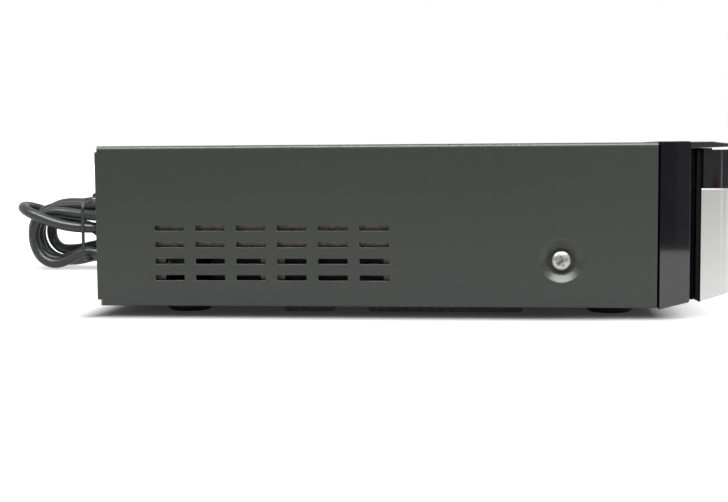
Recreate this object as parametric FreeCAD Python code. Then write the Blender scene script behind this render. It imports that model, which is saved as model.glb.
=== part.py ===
import FreeCAD, Part
import math
import os

from FreeCAD import Vector

# Disc recorder in millimetres: x runs across, the front faces -y, the feet stand on z = 0

# The whole case
unit_width = 430.0
cover_length = 208.0
cover_height = 60.0
foot_height = 4.0
front_reach = 28.0
socket_reach = 10.0
sheet = 0.8
seat_gap = 0.3

# Top cover
cover_bend = 1.5
seam_gap = 0.8
rear_notch_length = 0.8
rear_notch_height = 2.2
low_notch_length = 1.7
tab_width = 16.0
tab_height = 9.0
tab_spacing = 150.0
vent_length = 11.0
vent_height = 2.0
vent_pitch = 15.4
vent_row_pitch = 6.2
vent_first = 108.3
vent_low_z = 14.6
vent_columns = 6
vent_rows = 4

# Side screws in their pressed dimples
dimple_radius = 8.0
dimple_lip = 0.9
dimple_seat_radius = 4.6
dimple_depth = 2.4
dimple_behind = 34.3
dimple_z = 21.0
screw_head_radius = 3.5
screw_head_height = 2.0
screw_radius = 2.0
screw_length = 5.0
screw_clearance = 0.2

# Chassis
flange_height = 40.0
flange_front = 9.0
front_flange_height = 5.0
window_low_z = 11.0
window_high_z = 24.0
window_spans = ((99.6, 136.8), (145.8, 182.2))
pad_spans = ((47.0, 107.0), (117.0, 139.0))
pad_width = 24.0
pad_inset = 4.8
pad_depth = 2.6
pad_slope = 2.0
boss_radius = 3.0
boss_height = 5.2
board_screw_radius = 1.3
board_screw_length = 5.0
board_screw_head = 2.6

# Feet
foot_radius = 9.0
foot_tread_radius = 7.5
foot_peg_radius = 2.4
foot_peg_length = 3.0
foot_front = 15.0
foot_rear_inset = 30.0
foot_inset = 24.0

# Front moulding
bezel_depth = 11.5
bezel_rise = 0.3
bezel_low_z = 3.5
bezel_front_low_z = 6.2
bezel_wall = 2.2
bezel_edge = 0.8
step_depth = 1.5
step_inset = 1.0
step_low_z = 7.1
step_high_z = 61.4
tongue_length = 6.0
tongue_wall = 1.4
post_radius = 1.8

# Top lip
lip_low_z = 61.9
lip_drop = 1.3
lip_tip = 0.7
lip_corner = 5.0

# Fascia
fascia_gap = 0.8
frame_depth = 1.2
frame_border = 4.0
frame_low_gap = 0.6
fascia_inset = 1.0
fascia_reach = 27.2
fascia_low_z = 6.2
fascia_front_low_z = 10.0
fascia_corner = 4.0
fascia_end_corner = 5.0
fascia_wall = 2.0
silver_high_z = 47.2
window_high = 61.2
window_wall = 2.0

# Loader and drive
disk_drive_gap = 8.4
drive_width = 148.0
drive_rear_gap = 32.0
drive_behind = 2.0
drive_low_z = 24.0
drive_height = 34.0
drive_wall = 2.0
disc_behind = 60.0
disc_radius = 60.0
disc_clearance = 0.6
small_disc_radius = 40.0
tray_width = 130.0
tray_rear_gap = 4.0
tray_travel = 145.0
tray_low_z = 38.0
tray_high_z = 44.0
tray_floor_z = 42.0
tray_inner_floor_z = 40.8
tray_hollow_z = 39.2
slot_width = 38.0
rail_width = 1.8
rail_low_z = 40.0
rail_high_z = 42.4
rail_rib = 1.1
rib_overlap = 0.4
lid_width = 150.0
lid_low_z = 28.6
lid_high_z = 44.4
lid_depth = 4.0
lid_gap = 0.4
finger_notch_radius = 14.0

# Loading gears
rack_module = 1.0
gear_module = 0.8
rack_teeth = 51
pinion_teeth = 20
wheel_teeth = 34
small_pinion_teeth = 12
gear_backlash = 0.3
gear_behind = 19.5
rack_offset = 62.0
rack_body = 2.25
rack_low_z = 35.6
pinion_low_z = 34.6
pinion_height = 3.6
wheel_low_z = 31.0
wheel_height = 2.8
pulley_low_z = 27.6
pulley_height = 3.0
pulley_radius = 10.4
motor_pulley_radius = 2.8
belt_thickness = 1.2
pulley_flange = 0.8
post_pin_radius = 1.5
running_gap = 0.05
motor_offset = 62.0
loading_motor_radius = 10.0
loading_motor_height = 14.0

# Traverse with spindle and pickup
traverse_low_z = 31.0
traverse_sheet = 2.0
traverse_width = 68.0
traverse_front = 42.0
traverse_rear = 152.0
traverse_hinge = 150.0
hinge_z = 32.0
hinge_radius = 1.5
hinge_pin_length = 6.0
tilt_angle = 4.0
pickup_window_width = 48.0
pickup_window_front = 74.0
pickup_window_rear = 143.0
rod_radius = 1.5
rod_spacing = 42.0
rod_z = 36.2
rod_front = 72.0
rod_rear = 146.0
rod_lug = 4.0
sled_first = 24.0
sled_travel = 33.0
sled_front = 9.0
sled_rear = 21.0
sled_low_z = 32.0
sled_high_z = 38.6
lens_radius = 3.4
lens_high_z = 41.4
lead_screw_offset = 28.5
lead_screw_radius = 1.2
lead_screw_pitch = 3.0
sled_motor_radius = 3.0
sled_motor_length = 12.0
spindle_motor_radius = 12.0
spindle_motor_height = 5.0
turntable_radius = 15.0
turntable_low_z = 40.4
turntable_height = 2.6
hub_radius = 7.4
hub_height = 3.2
clamper_low_z = 47.7
clamper_pad_radius = 12.5
clamper_neck_radius = 9.5
clamper_flange_radius = 13.0
clamper_flange = 1.2

# Hard disc
disk_from_side = 8.0
disk_width = 101.6
disk_length = 147.0
disk_height = 26.0
disk_behind = 20.0
disk_wall = 3.0
platter_radius = 47.5
platter_thickness = 1.3
platter_pitch = 6.0
platter_swing = 24.0

# Boards
board_thickness = 1.6
board_jack_edge = 4.5
main_board_right = 44.0
main_board_front = 31.0
power_board_from_side = 9.0
power_board_gap = 15.0
power_board_front = 40.0
board_rear_gap = 1.0
chip_size = 27.0
chip_height = 2.0
chip_from_front = 60.0
memory_width = 12.0
memory_depth = 9.0
memory_height = 1.2
memory_across = 34.0
memory_along = 8.0
can_radius = 3.0
can_height = 7.0
can_count = 5
can_pitch = 11.0
can_inset = 14.0
header_width = 20.0
header_height = 6.0
heatsink_size = 34.0
heatsink_height = 9.0
heatsink_fins = 8
filter_radius = 5.0
filter_height = 20.0
filter_count = 4
filter_pitch = 13.0
filter_inset = 14.0
choke_width = 20.0
choke_depth = 18.0
choke_height = 22.0
choke_gap = 15.0
fuse_radius = 3.0
fuse_length = 20.0
film_width = 8.0
film_height = 14.0
transformer_width = 34.0
transformer_height = 32.0
transformer_depth = 30.0
transformer_base = 4.0
core_depth = 12.0
bobbin_margin = 3.0
capacitor_radius = 11.0
capacitor_height = 34.0
capacitor_groove = 0.6
capacitor_inset = 26.0
power_middle = 70.0
power_heatsink_inset = 16.0
power_heatsink_height = 32.0
power_heatsink_length = 54.0
power_heatsink_fins = 5
power_heatsink_pitch = 12.0
power_heatsink_width = 16.0
heatsink_sheet = 2.0

# Fan
fan_from_side = 110.0
fan_z = 35.0
fan_size = 40.0
fan_depth = 10.0
fan_duct_radius = 18.6
fan_tip_radius = 17.6
fan_hub_radius = 10.0
fan_blades = 7
fan_screw_spacing = 32.0

# Rear sockets
aerial_from_side = 39.0
aerial_spacing = 22.0
aerial_count = 4
aerial_z = 30.0
aerial_radius = 4.7
aerial_base_radius = 6.4
tuner_gap = 3.0
tuner_edge = 6.0
tuner_jack_gap = 12.1
jack_spacing = 15.0
jack_count = 3
jack_z = 30.0
jack_radius = 4.15
jack_base_radius = 5.4
jack_base_reach = 0.6
jack_bore_radius = 1.7
jack_reach = 8.5
jack_top = 7.0
hdmi_x = 6.0
hdmi_width = 15.2
hdmi_height = 5.8
lan_x = 30.0
lan_width = 16.0
lan_height = 13.4
shell_wall = 0.4
socket_depth = 14.0
inlet_from_side = 50.0
inlet_width = 27.0
inlet_height = 17.0
inlet_depth = 18.0

# Front controls
power_from_side = 65.0
round_button_z = 36.0
round_button_radius = 6.0
round_button_travel = 1.0
button_clearance = 0.3
flap_from_side = 9.4
flap_width = 121.2
flap_high_z = 44.4
flap_thickness = 2.2
flap_axis_z = 13.6
flap_pin_radius = 1.2
flap_pin_length = 2.4
panel_front = 20.4
panel_wall = 2.0
key_from_flap = 13.6
key_spacing = 17.0
key_count = 4
key_width = 11.0
key_height = 5.0
key_z = 38.0
key_travel = 0.8
usb_width = 13.2
usb_height = 5.8
card_from_flap = 39.6
card_width = 26.0
card_height = 3.4
access_from_flap = 86.6
access_width = 56.0
access_height = 4.0
front_socket_z = 23.0
front_board_behind = -7.0
switch_board_width = 56.0
switch_board_height = 24.0
switch_post_inset = 6.0
switch_post_edge = 4.0
display_left = -40.0
display_right = 74.0
display_low_z = 49.4
display_high_z = 56.6

# Mains cord
cord_diameter = 5.5
cord_pitch = 6.1
cord_floor_gap = 0.1
plug_insert = 9.0
plug_grip = 22.0
plug_relief = 20.0
hank_x = -8.0
hank_near = 34.4
hank_far = 84.4
hank_inner = 8.25
hank_waist = 2.0
hank_waist_share = 0.58
hank_straight = 14.0
plug_axis_z = 8.6
plug_width = 24.0
plug_neck_width = 14.0
plug_length = 24.0
plug_relief_length = 14.0
plug_height = 16.4
blade_length = 17.0
blade_width = 6.3
blade_thickness = 1.5
blade_spacing = 12.7
plug_behind = 14.0
tie_width = 3.0
tie_thickness = 0.8

# Planes that follow from the sizes above
half_width = unit_width / 2
drive_length = cover_length - drive_behind - drive_rear_gap
tray_end_behind = drive_behind + drive_length - tray_rear_gap
disk_left = disk_from_side - half_width
power_board_right = half_width - power_board_from_side
fan_x = half_width - fan_from_side
aerial_first = aerial_from_side - half_width
tuner_left = aerial_first - aerial_base_radius - tuner_edge
tuner_right = aerial_first + (aerial_count - 1) * aerial_spacing + aerial_base_radius + tuner_edge
jack_left = tuner_right + tuner_jack_gap
jack_first = jack_left + jack_spacing / 2
main_board_left = jack_left - board_jack_edge
inlet_x = half_width - inlet_from_side
power_x = power_from_side - half_width
foot_rear = cover_length - foot_rear_inset
drive_x = disk_left + disk_width + disk_drive_gap + drive_width / 2
lid_right = drive_x + lid_width / 2
power_board_left = drive_x + drive_width / 2 + power_board_gap
flap_right = half_width - flap_from_side
flap_left = flap_right - flap_width
eject_x = (lid_right + flap_left - lid_gap) / 2
key_first = flap_left + key_from_flap
usb_x = key_first
card_x = flap_left + card_from_flap
access_x = flap_left + access_from_flap
pan_z = foot_height
pan_top = pan_z + sheet
top_z = pan_z + cover_height
total_depth = front_reach + cover_length + socket_reach
seam_y = front_reach - total_depth / 2
rear_y = seam_y + cover_length
panel_out_y = rear_y - sheet
panel_in_y = panel_out_y - sheet
flange_x = half_width - sheet - dimple_depth
board_z = pan_top + boss_height
board_top = board_z + board_thickness
bezel_front_y = seam_y - bezel_depth
bezel_high_z = top_z + bezel_rise
step_y = bezel_front_y - step_depth
frame_back_y = step_y - fascia_gap
frame_front_y = frame_back_y - frame_depth
fascia_y = seam_y - fascia_reach
fascia_x = half_width - fascia_inset
disc_y = seam_y + disc_behind
drive_front_y = seam_y + drive_behind
drive_rear_y = drive_front_y + drive_length
drive_top_z = drive_low_z + drive_height
drive_floor_z = drive_low_z + drive_wall
cord_radius = cord_diameter / 2
inlet_z = board_top + inlet_height / 2
front_board_y = seam_y + front_board_behind
plug_y = rear_y + plug_behind
disk_rear_y = seam_y + disk_behind + disk_length
tuner_front_y = max(drive_rear_y, disk_rear_y) + tuner_gap
display_y = fascia_y + window_wall + 2 * seat_gap


def behind(distance):
    return seam_y + distance


# Shape helpers: a span is the low and high value on one axis
def block(x, y, z):
    corner = Vector(x[0], y[0], z[0])
    return Part.makeBox(x[1] - x[0], y[1] - y[0], z[1] - z[0], corner)


def around(centre, size):
    return (centre - size / 2, centre + size / 2)


def rod(radius, start, axis, length):
    return Part.makeCylinder(radius, length, Vector(*start), Vector(*axis))


def cone(low_radius, high_radius, start, axis, length):
    return Part.makeCone(low_radius, high_radius, length, Vector(*start), Vector(*axis))


def fused(shapes):
    whole = shapes[0]
    if len(shapes) > 1:
        whole = whole.fuse(shapes[1:])
    return whole.removeSplitter()


def cut(shape, tools):
    return shape.cut(tools if isinstance(tools, list) else [tools]).removeSplitter()


def group(shapes):
    return Part.makeCompound(shapes)


def prism(corners, travel):
    loop = [Vector(*corner) for corner in corners]
    return Part.Face(Part.makePolygon(loop + loop[:1])).extrude(Vector(*travel))


def rounded_wire(corners, radii):
    # A closed outline of straight sides, its corners rounded by tangent arcs
    points = [Vector(*corner) for corner in corners]
    sides = []
    for index, corner in enumerate(points):
        back = (points[index - 1] - corner).normalize()
        ahead = (points[(index + 1) % len(points)] - corner).normalize()
        radius = radii[index]
        half = back.getAngle(ahead) / 2
        reach = radius / math.tan(half)
        inward = (back + ahead).normalize()
        middle = corner + inward * (radius / math.sin(half) - radius)
        sides.append((corner + back * reach, middle, corner + ahead * reach, radius))
    edges = []
    for index, (start, middle, end, radius) in enumerate(sides):
        if radius > 0:
            edges.append(Part.Arc(start, middle, end).toShape())
        following = sides[(index + 1) % len(sides)][0]
        if (following - end).Length > 1e-6:
            edges.append(Part.LineSegment(end, following).toShape())
    return Part.Wire(edges)


def rounded_prism(corners, radii, travel):
    return Part.Face(rounded_wire(corners, radii)).extrude(Vector(*travel))


def rounded_block(x, y, z, radius):
    # A block whose upright edges are rounded
    corners = [(x[0], y[0], z[0]), (x[1], y[0], z[0]), (x[1], y[1], z[0]), (x[0], y[1], z[0])]
    return rounded_prism(corners, [radius] * 4, (0, 0, z[1] - z[0]))


def mirrored(shape):
    return shape.mirror(Vector(0, 0, 0), Vector(1, 0, 0))


def channel(half, low, high, bend, wall, start, length, open_top):
    # A sheet bent twice into a long U, open below or above
    foot, crown = (high, low) if open_top else (low, high)
    inner_crown = crown + wall if open_top else crown - wall
    outline = [
        (-half, start, foot),
        (-half, start, crown),
        (half, start, crown),
        (half, start, foot),
        (half - wall, start, foot),
        (half - wall, start, inner_crown),
        (wall - half, start, inner_crown),
        (wall - half, start, foot),
    ]
    radii = [0, bend, bend, 0, 0, bend - wall, bend - wall, 0]
    return rounded_prism(outline, radii, (0, length, 0))


def dimple(side, extra):
    # The cone of a pressed dimple in one side, larger by extra
    deep = dimple_depth + extra
    start = (side * half_width, behind(dimple_behind), dimple_z)
    return cone(dimple_radius + extra, dimple_seat_radius + extra, start, (-side, 0, 0), deep)


def vent_slots(side):
    slots = []
    for row in range(vent_rows):
        z = around(vent_low_z + row * vent_row_pitch, vent_height)
        for column in range(vent_columns):
            first = behind(vent_first + column * vent_pitch - vent_length)
            x = (half_width - 2 * sheet, half_width + sheet)
            slot = block(x, (first, first + vent_length), z)
            slots.append(slot if side > 0 else mirrored(slot))
    return slots


def rear_tab_places():
    return (-tab_spacing, 0.0, tab_spacing)


def is_dimple_edge(edge):
    # The circle where a dimple leaves the flat outer side
    curve = edge.Curve
    if not isinstance(curve, Part.Circle):
        return False
    return abs(abs(curve.Center.x) - half_width) < 0.01 and abs(curve.Radius - dimple_radius) < 0.01


def top_cover():
    cover = channel(half_width, pan_z, top_z, cover_bend, sheet, seam_y, cover_length, False)
    cover = cover.fuse([dimple(side, sheet) for side in (-1, 1)])
    tools = [dimple(side, 0) for side in (-1, 1)]
    hole = screw_radius + screw_clearance
    for side in (-1, 1):
        start = (side * half_width, behind(dimple_behind), dimple_z)
        tools.append(rod(hole, start, (-side, 0, 0), dimple_depth + 2 * sheet))
        tools += vent_slots(side)
    wide = (-unit_width, unit_width)
    tools.append(
        block(wide, (rear_y - rear_notch_length, rear_y + 1), (top_z - rear_notch_height, top_z + 1))
    )
    tools.append(
        block(wide, (rear_y - low_notch_length, rear_y + 1), (pan_z - 1, pan_z + rear_notch_height))
    )
    cover = cut(cover, tools)
    lips = [edge for edge in cover.Edges if is_dimple_edge(edge)]
    cover = cover.makeFillet(dimple_lip, lips)
    tabs = []
    for x in rear_tab_places():
        tab_z = (top_z - tab_height, top_z - rear_notch_height)
        tab = block(around(x, tab_width), (panel_out_y, rear_y), tab_z)
        ear = block(
            around(x, tab_width), (panel_out_y - sheet, rear_y),
            (top_z - rear_notch_height - sheet, top_z - sheet),
        )
        notch_y = (rear_y - rear_notch_length, rear_y)
        notch = block(around(x, tab_width), notch_y, (top_z - rear_notch_height, top_z))
        hole_start = (x, panel_in_y, top_z - tab_height + screw_head_radius)
        hole = rod(board_screw_radius + screw_clearance, hole_start, (0, 1, 0), 3 * sheet)
        tabs.append(tab.fuse(ear.cut(notch)).cut(hole))
    return fused([cover] + tabs)


def cross_recess(centre, side, size):
    # Two crossed slots, cut into a screw's head from its outer face
    x = sorted((centre[0], centre[0] - side * size * 0.45))
    thin = size * 0.28
    return [
        block(x, around(centre[1], size), around(centre[2], thin)),
        block(x, around(centre[1], thin), around(centre[2], size)),
    ]


def small_screw(seat, axis, length):
    # A tapered head on a plain shank; axis points out of the head
    head = cone(board_screw_head, board_screw_head * 0.75, seat, axis, board_screw_radius)
    inward = [-part for part in axis]
    return head.fuse(rod(board_screw_radius, seat, inward, length)).removeSplitter()


def cover_screw(seat, side):
    # A domed head with a cross recess on a plain shank
    low = screw_head_height * 0.6
    head = cone(screw_head_radius, screw_head_radius * 0.86, seat, (side, 0, 0), low)
    crown_seat = (seat[0] + side * low, seat[1], seat[2])
    crown = cone(
        screw_head_radius * 0.86, screw_head_radius * 0.5, crown_seat, (side, 0, 0),
        screw_head_height - low,
    )
    shank = rod(screw_radius, seat, (-side, 0, 0), screw_length)
    face = (seat[0] + side * screw_head_height, seat[1], seat[2])
    return cut(head.fuse([crown, shank]), cross_recess(face, side, screw_head_radius))


def cover_side_screws():
    depth = half_width - dimple_depth
    return group([cover_screw((side * depth, behind(dimple_behind), dimple_z), side) for side in (-1, 1)])


def rear_screws():
    # Three hold the cover's tabs and four hold the fan
    tab_z = top_z - tab_height + screw_head_radius
    screws = [small_screw((x, rear_y, tab_z), (0, 1, 0), board_screw_length) for x in rear_tab_places()]
    screws += [small_screw((x, panel_out_y, z), (0, 1, 0), fan_depth) for x, z in fan_screw_places()]
    return group(screws)


def main_board_holes():
    return [
        (x, y)
        for x in (main_board_left + boss_radius + 2, main_board_right - boss_radius - 2)
        for y in (behind(main_board_front) + boss_radius + 2, panel_in_y - socket_depth - boss_radius - 6)
    ]


def power_board_holes():
    return [
        (x, y)
        for x in (power_board_left + boss_radius + 2, power_board_right - boss_radius - 2)
        for y in (behind(power_board_front) + boss_radius + 2, panel_in_y - inlet_depth - boss_radius - 6)
    ]


def disk_holes():
    inset = disk_wall + boss_radius + 4
    return [
        (x, y)
        for x in (disk_left + inset, disk_left + disk_width - inset)
        for y in (behind(disk_behind) + inset, behind(disk_behind) + disk_length - inset)
    ]


def bracket_feet():
    low = drive_x - drive_width / 2 - sheet
    high = drive_x + drive_width / 2
    return ((low - tab_height + sheet, low + sheet), (high, high + tab_height))


def foot_places():
    x = half_width - foot_inset
    return [(side * x, behind(y)) for side in (-1, 1) for y in (foot_front, foot_rear)]


def pad_loft(x, y, lift):
    low = [(x[0], y[0]), (x[1], y[0]), (x[1], y[1]), (x[0], y[1])]
    signs = [(1, 1), (-1, 1), (-1, -1), (1, -1)]
    top = [Vector(px, py, pan_z + lift) for px, py in low]
    base = [Vector(px + sx * pad_slope, py + sy * pad_slope, pan_z - pad_depth + lift)
            for (px, py), (sx, sy) in zip(low, signs)]
    wires = [Part.makePolygon(ring + ring[:1]) for ring in (top, base)]
    return Part.makeLoft(wires, True, True)


def chassis_base():
    start = behind(flange_front)
    length = panel_in_y - start
    pan = channel(flange_x, pan_z, pan_z + flange_height, cover_bend, sheet, start, length, True)
    front = block((-flange_x, flange_x), (start, start + sheet), (pan_z, pan_z + front_flange_height))
    pads = []
    wells = []
    for low, high in pad_spans:
        x = (half_width - pad_inset - pad_width, half_width - pad_inset)
        for lift, kept in ((0, pads), (sheet, wells)):
            pad = pad_loft(x, (behind(low), behind(high)), lift)
            kept += [pad, mirrored(pad)]
    bosses = []
    holes = []
    for x, y in main_board_holes() + power_board_holes() + disk_holes():
        bosses.append(rod(boss_radius, (x, y, pan_z), (0, 0, 1), sheet + boss_height))
        holes.append(rod(board_screw_radius + running_gap, (x, y, pan_z - 1), (0, 0, 1), boss_height + 3))
    pan = pan.fuse([front] + pads + bosses)
    holes += wells
    for side in (-1, 1):
        x = sorted((side * (flange_x - 2 * sheet), side * (flange_x + sheet)))
        for low, high in window_spans:
            holes.append(block(x, (behind(low), behind(high)), (window_low_z, window_high_z)))
        screw_start = (side * (flange_x + sheet), behind(dimple_behind), dimple_z)
        holes.append(rod(screw_radius + running_gap, screw_start, (-side, 0, 0), 3 * sheet))
    for x, y in foot_places():
        holes.append(rod(foot_peg_radius + running_gap, (x, y, pan_z - 1), (0, 0, 1), 3))
    return cut(pan, holes)


def feet():
    kept = []
    for x, y in foot_places():
        tread = cone(foot_tread_radius, foot_radius, (x, y, 0), (0, 0, 1), foot_height * 0.3)
        body = rod(foot_radius, (x, y, foot_height * 0.3), (0, 0, 1), foot_height * 0.7)
        peg = rod(foot_peg_radius, (x, y, foot_height), (0, 0, 1), foot_peg_length)
        kept.append(fused([tread, body, peg]))
    return group(kept)


def board_screws():
    places = main_board_holes() + power_board_holes()
    return group([small_screw((x, y, board_top), (0, 0, 1), board_screw_length) for x, y in places])


def fan_slots():
    # Upright slots whose ends follow the duct's circle
    slots = []
    pitch = fan_duct_radius / 4
    for index in range(-3, 4):
        offset = index * pitch
        reach = math.sqrt((fan_duct_radius - 1) ** 2 - offset ** 2)
        x = around(fan_x + offset, pitch * 0.55)
        slots.append(block(x, (panel_in_y - 1, panel_out_y + 1), (fan_z - reach, fan_z + reach)))
    return slots


def fan_screw_places():
    reach = fan_screw_spacing / 2
    return [(fan_x + sx * reach, fan_z + sz * reach) for sx in (-1, 1) for sz in (-1, 1)]


def panel_hole(x, z, radius):
    return rod(radius, (x, panel_in_y - 1, z), (0, 1, 0), sheet + 2)


def panel_window(x, z, width, height):
    y = (panel_in_y - 1, panel_out_y + 1)
    return block(around(x, width + 2 * seat_gap), y, around(z, height + 2 * seat_gap))


def rear_panel():
    half = half_width - sheet - seat_gap
    plate = block((-half, half), (panel_in_y, panel_out_y), (pan_z, top_z - sheet - seat_gap))
    ears = []
    for side in (-1, 1):
        x = sorted((side * (flange_x - sheet), side * (flange_x - 2 * sheet)))
        ears.append(block(x, (panel_in_y - tab_height, panel_in_y), (pan_top + 4, pan_z + flange_height)))
    holes = fan_slots()
    for index in range(aerial_count):
        holes.append(
            panel_hole(aerial_first + index * aerial_spacing, aerial_z, aerial_base_radius + seat_gap)
        )
    for index in range(jack_count):
        holes.append(panel_hole(jack_first + index * jack_spacing, jack_z, jack_base_radius + seat_gap))
    holes.append(panel_window(hdmi_x, board_top + hdmi_height / 2, hdmi_width, hdmi_height))
    holes.append(panel_window(lan_x, board_top + lan_height / 2, lan_width, lan_height))
    holes.append(panel_window(inlet_x, inlet_z, inlet_width, inlet_height))
    for x, z in fan_screw_places():
        holes.append(panel_hole(x, z, board_screw_radius + screw_clearance))
    for x in rear_tab_places():
        holes.append(
            panel_hole(x, top_z - tab_height + screw_head_radius, board_screw_radius + running_gap)
        )
        low = top_z - rear_notch_height - sheet - seat_gap
        holes.append(
            block(around(x, tab_width + 2 * seat_gap), (panel_in_y - 1, panel_out_y + 1), (low, top_z))
        )
    return cut(fused([plate] + ears), holes)


def side_outline(x, corners, radii, travel):
    # A profile drawn on the end of the case as (y, z) points and pushed along x
    return rounded_prism([(x, y, z) for y, z in corners], radii, (travel, 0, 0))


def front_hole(x, z, radius, y):
    return rod(radius, (x, y[0], z), (0, 1, 0), y[1] - y[0])


def frame_post_places():
    low = fascia_low_z + frame_low_gap + frame_border / 2
    high = window_high - frame_border / 2
    spread = fascia_x - 24
    return [(x, z) for x in (-spread, -spread / 2, spread / 2, spread) for z in (low, high)]


def tray_span(extra):
    return around(drive_x, tray_width + 2 * rail_width + 2 * extra)


def front_bezel():
    corners = [
        (seam_y - seam_gap, bezel_low_z),
        (bezel_front_y, bezel_front_low_z),
        (bezel_front_y, bezel_high_z),
        (seam_y - seam_gap, bezel_high_z),
    ]
    body = side_outline(-half_width, corners, [0, bezel_edge, bezel_edge, 0], unit_width)
    hollow = block(
        (bezel_wall - half_width, half_width - bezel_wall),
        (bezel_front_y + bezel_wall, seam_y),
        (bezel_front_low_z + bezel_wall, bezel_high_z - bezel_wall),
    )
    step = block(
        (step_inset - half_width, half_width - step_inset), (step_y, bezel_front_y + 1),
        (step_low_z, step_high_z),
    )
    out = half_width - sheet - seat_gap
    tongue_y = (seam_y - seam_gap - 1, behind(tongue_length))
    tongue = block((-out, out), tongue_y, (pan_top + seat_gap, top_z - sheet - seat_gap))
    inner = out - tongue_wall
    tongue = tongue.cut(block(
        (-inner, inner), (seam_y - bezel_depth, behind(tongue_length + 1)),
        (pan_top + seat_gap + tongue_wall, top_z - sheet - seat_gap - tongue_wall)))
    posts = [
        rod(post_radius, (x, frame_back_y, z), (0, 1, 0), fascia_gap + 1)
        for x, z in frame_post_places()
    ]
    board_posts = [rod(post_radius, (x, bezel_front_y + bezel_wall - 1, z), (0, 1, 0),
                       front_board_y - board_thickness - bezel_front_y - bezel_wall + 1)
                   for x, z in control_board_posts() + power_switch_posts()]
    through = (step_y - 1, bezel_front_y + bezel_wall + 1)
    openings = [
        block(tray_span(1.0), through, (pinion_low_z - 0.2, tray_high_z + 1.0)),
        block(
            (display_left - seat_gap, display_right + seat_gap), through,
            (display_low_z - seat_gap, display_high_z + seat_gap),
        ),
        block((flap_left + 6, flap_right - 6), through, (pan_top + 12, flap_high_z - 2)),
        front_hole(power_x, round_button_z, round_button_radius * 0.75, through),
        front_hole(eject_x, round_button_z, round_button_radius * 0.75, through),
    ]
    whole = body.cut(hollow).fuse([step, tongue] + posts)
    return whole.cut(openings).fuse(board_posts).removeSplitter()


def power_switch_posts():
    across = switch_board_width / 2 - switch_post_inset
    along = switch_board_height / 2 - switch_post_edge
    return [(power_x + sx * across, round_button_z + sz * along) for sx in (-1, 1) for sz in (-1, 1)]


def control_board_posts():
    return [
        (eject_x - 6, front_socket_z), (eject_x - 6, flap_high_z), (flap_right - 2.5, front_socket_z),
        (flap_right - 2.5, flap_high_z),
    ]


def top_lip():
    tip_y = seam_y - front_reach
    high = bezel_high_z - 0.2
    middle_y = tip_y + 9
    corners = [
        (bezel_front_y, lip_low_z - 0.2),
        (tip_y, bezel_high_z - lip_drop - lip_tip),
        (tip_y, bezel_high_z - lip_drop),
        (middle_y, high),
        (bezel_front_y, high),
    ]
    lip = side_outline(-half_width, corners, [0, 0.2, 0.2, 8, 0], unit_width)
    trim = rounded_block(
        (-half_width, half_width), (tip_y, bezel_front_y + 2 * lip_corner), (0, 2 * top_z), lip_corner)
    return lip.common(trim).removeSplitter()


def fascia_outline(inset, back_y, low_extra, high_z, x_inset):
    # The end profile of the fascia, moved inwards by inset
    slope = (fascia_front_low_z - fascia_low_z) / (fascia_reach - (seam_y - frame_front_y))
    back_z = fascia_low_z + inset + low_extra - slope * (back_y - frame_front_y)
    front_z = fascia_front_low_z + inset + low_extra - slope * inset
    corners = [(back_y, back_z), (fascia_y + inset, front_z), (fascia_y + inset, high_z), (back_y, high_z)]
    radius = max(fascia_corner - inset, 0.5)
    half = fascia_x - x_inset
    return side_outline(-half, corners, [0, radius, 0, 0], 2 * half)


def fascia_plan(inset):
    half = fascia_x - inset
    y = (fascia_y + inset, frame_back_y + 2 * fascia_end_corner)
    return rounded_block((-half, half), y, (0, 2 * top_z), fascia_end_corner - inset)


def fascia_frame():
    low = fascia_low_z + frame_low_gap
    outer = block((-fascia_x, fascia_x), (frame_front_y, frame_back_y), (low, window_high))
    inner = fascia_x - frame_border
    hole = block(
        (-inner, inner), (frame_front_y - 1, frame_back_y + 1),
        (low + frame_border, window_high - frame_border),
    )
    return cut(outer, hole)


def fascia_shell():
    outer = fascia_outline(0, frame_front_y, 0, silver_high_z, 0).common(fascia_plan(0))
    inner = fascia_outline(
        fascia_wall, frame_front_y + 1, 0, silver_high_z - 1.6, fascia_wall,
    ).common(fascia_plan(fascia_wall))
    shell = outer.cut(inner)
    front = (fascia_y - 1, fascia_y + fascia_wall + 0.5)
    lid = around(drive_x, lid_width + 2 * lid_gap)
    cuts = [
        block(lid, front, (lid_low_z - lid_gap, lid_high_z + lid_gap)),
        block(
            (flap_left - lid_gap, flap_right + lid_gap),
            (fascia_y - 1, flap_axis_y() + flap_nose() + lid_gap),
            (flap_axis_z - flap_nose() - lid_gap, flap_high_z + lid_gap)),
    ]
    for x in (power_x, eject_x):
        cuts.append(front_hole(x, round_button_z, round_button_radius + button_clearance, front))
    shell = shell.cut(cuts)
    ears = []
    bores = []
    for x in (flap_left - lid_gap - flap_pin_length - 0.6, flap_right + lid_gap):
        ear_z = (fascia_front_low_z + 1, flap_axis_z + 3)
        ears.append(block((x, x + flap_pin_length + 0.6), (fascia_y + 1, fascia_y + 6.4), ear_z))
        start = (x - 1, flap_axis_y(), flap_axis_z)
        bores.append(rod(flap_pin_radius + running_gap, start, (1, 0, 0), flap_pin_length + 3))
    return cut(fused([shell] + ears), bores)


def flap_nose():
    return flap_axis_y() - fascia_y


def flap_axis_y():
    return fascia_y + flap_thickness + 0.8


def smoked_window():
    low = silver_high_z
    outer = fascia_outline(0, frame_front_y, 0, window_high, 0).common(fascia_plan(0))
    inner = fascia_outline(window_wall, frame_front_y + 1, 0, window_high - window_wall, window_wall)
    inner = inner.common(fascia_plan(window_wall))
    keep = block((-unit_width, unit_width), (fascia_y - 1, frame_front_y), (low, window_high))
    rim = block(
        (-fascia_x, fascia_x), (frame_front_y - 4, frame_front_y), (window_high - 0.5, lip_low_z - 0.1),
    )
    return fused([outer.cut(inner).common(keep), rim])


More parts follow.
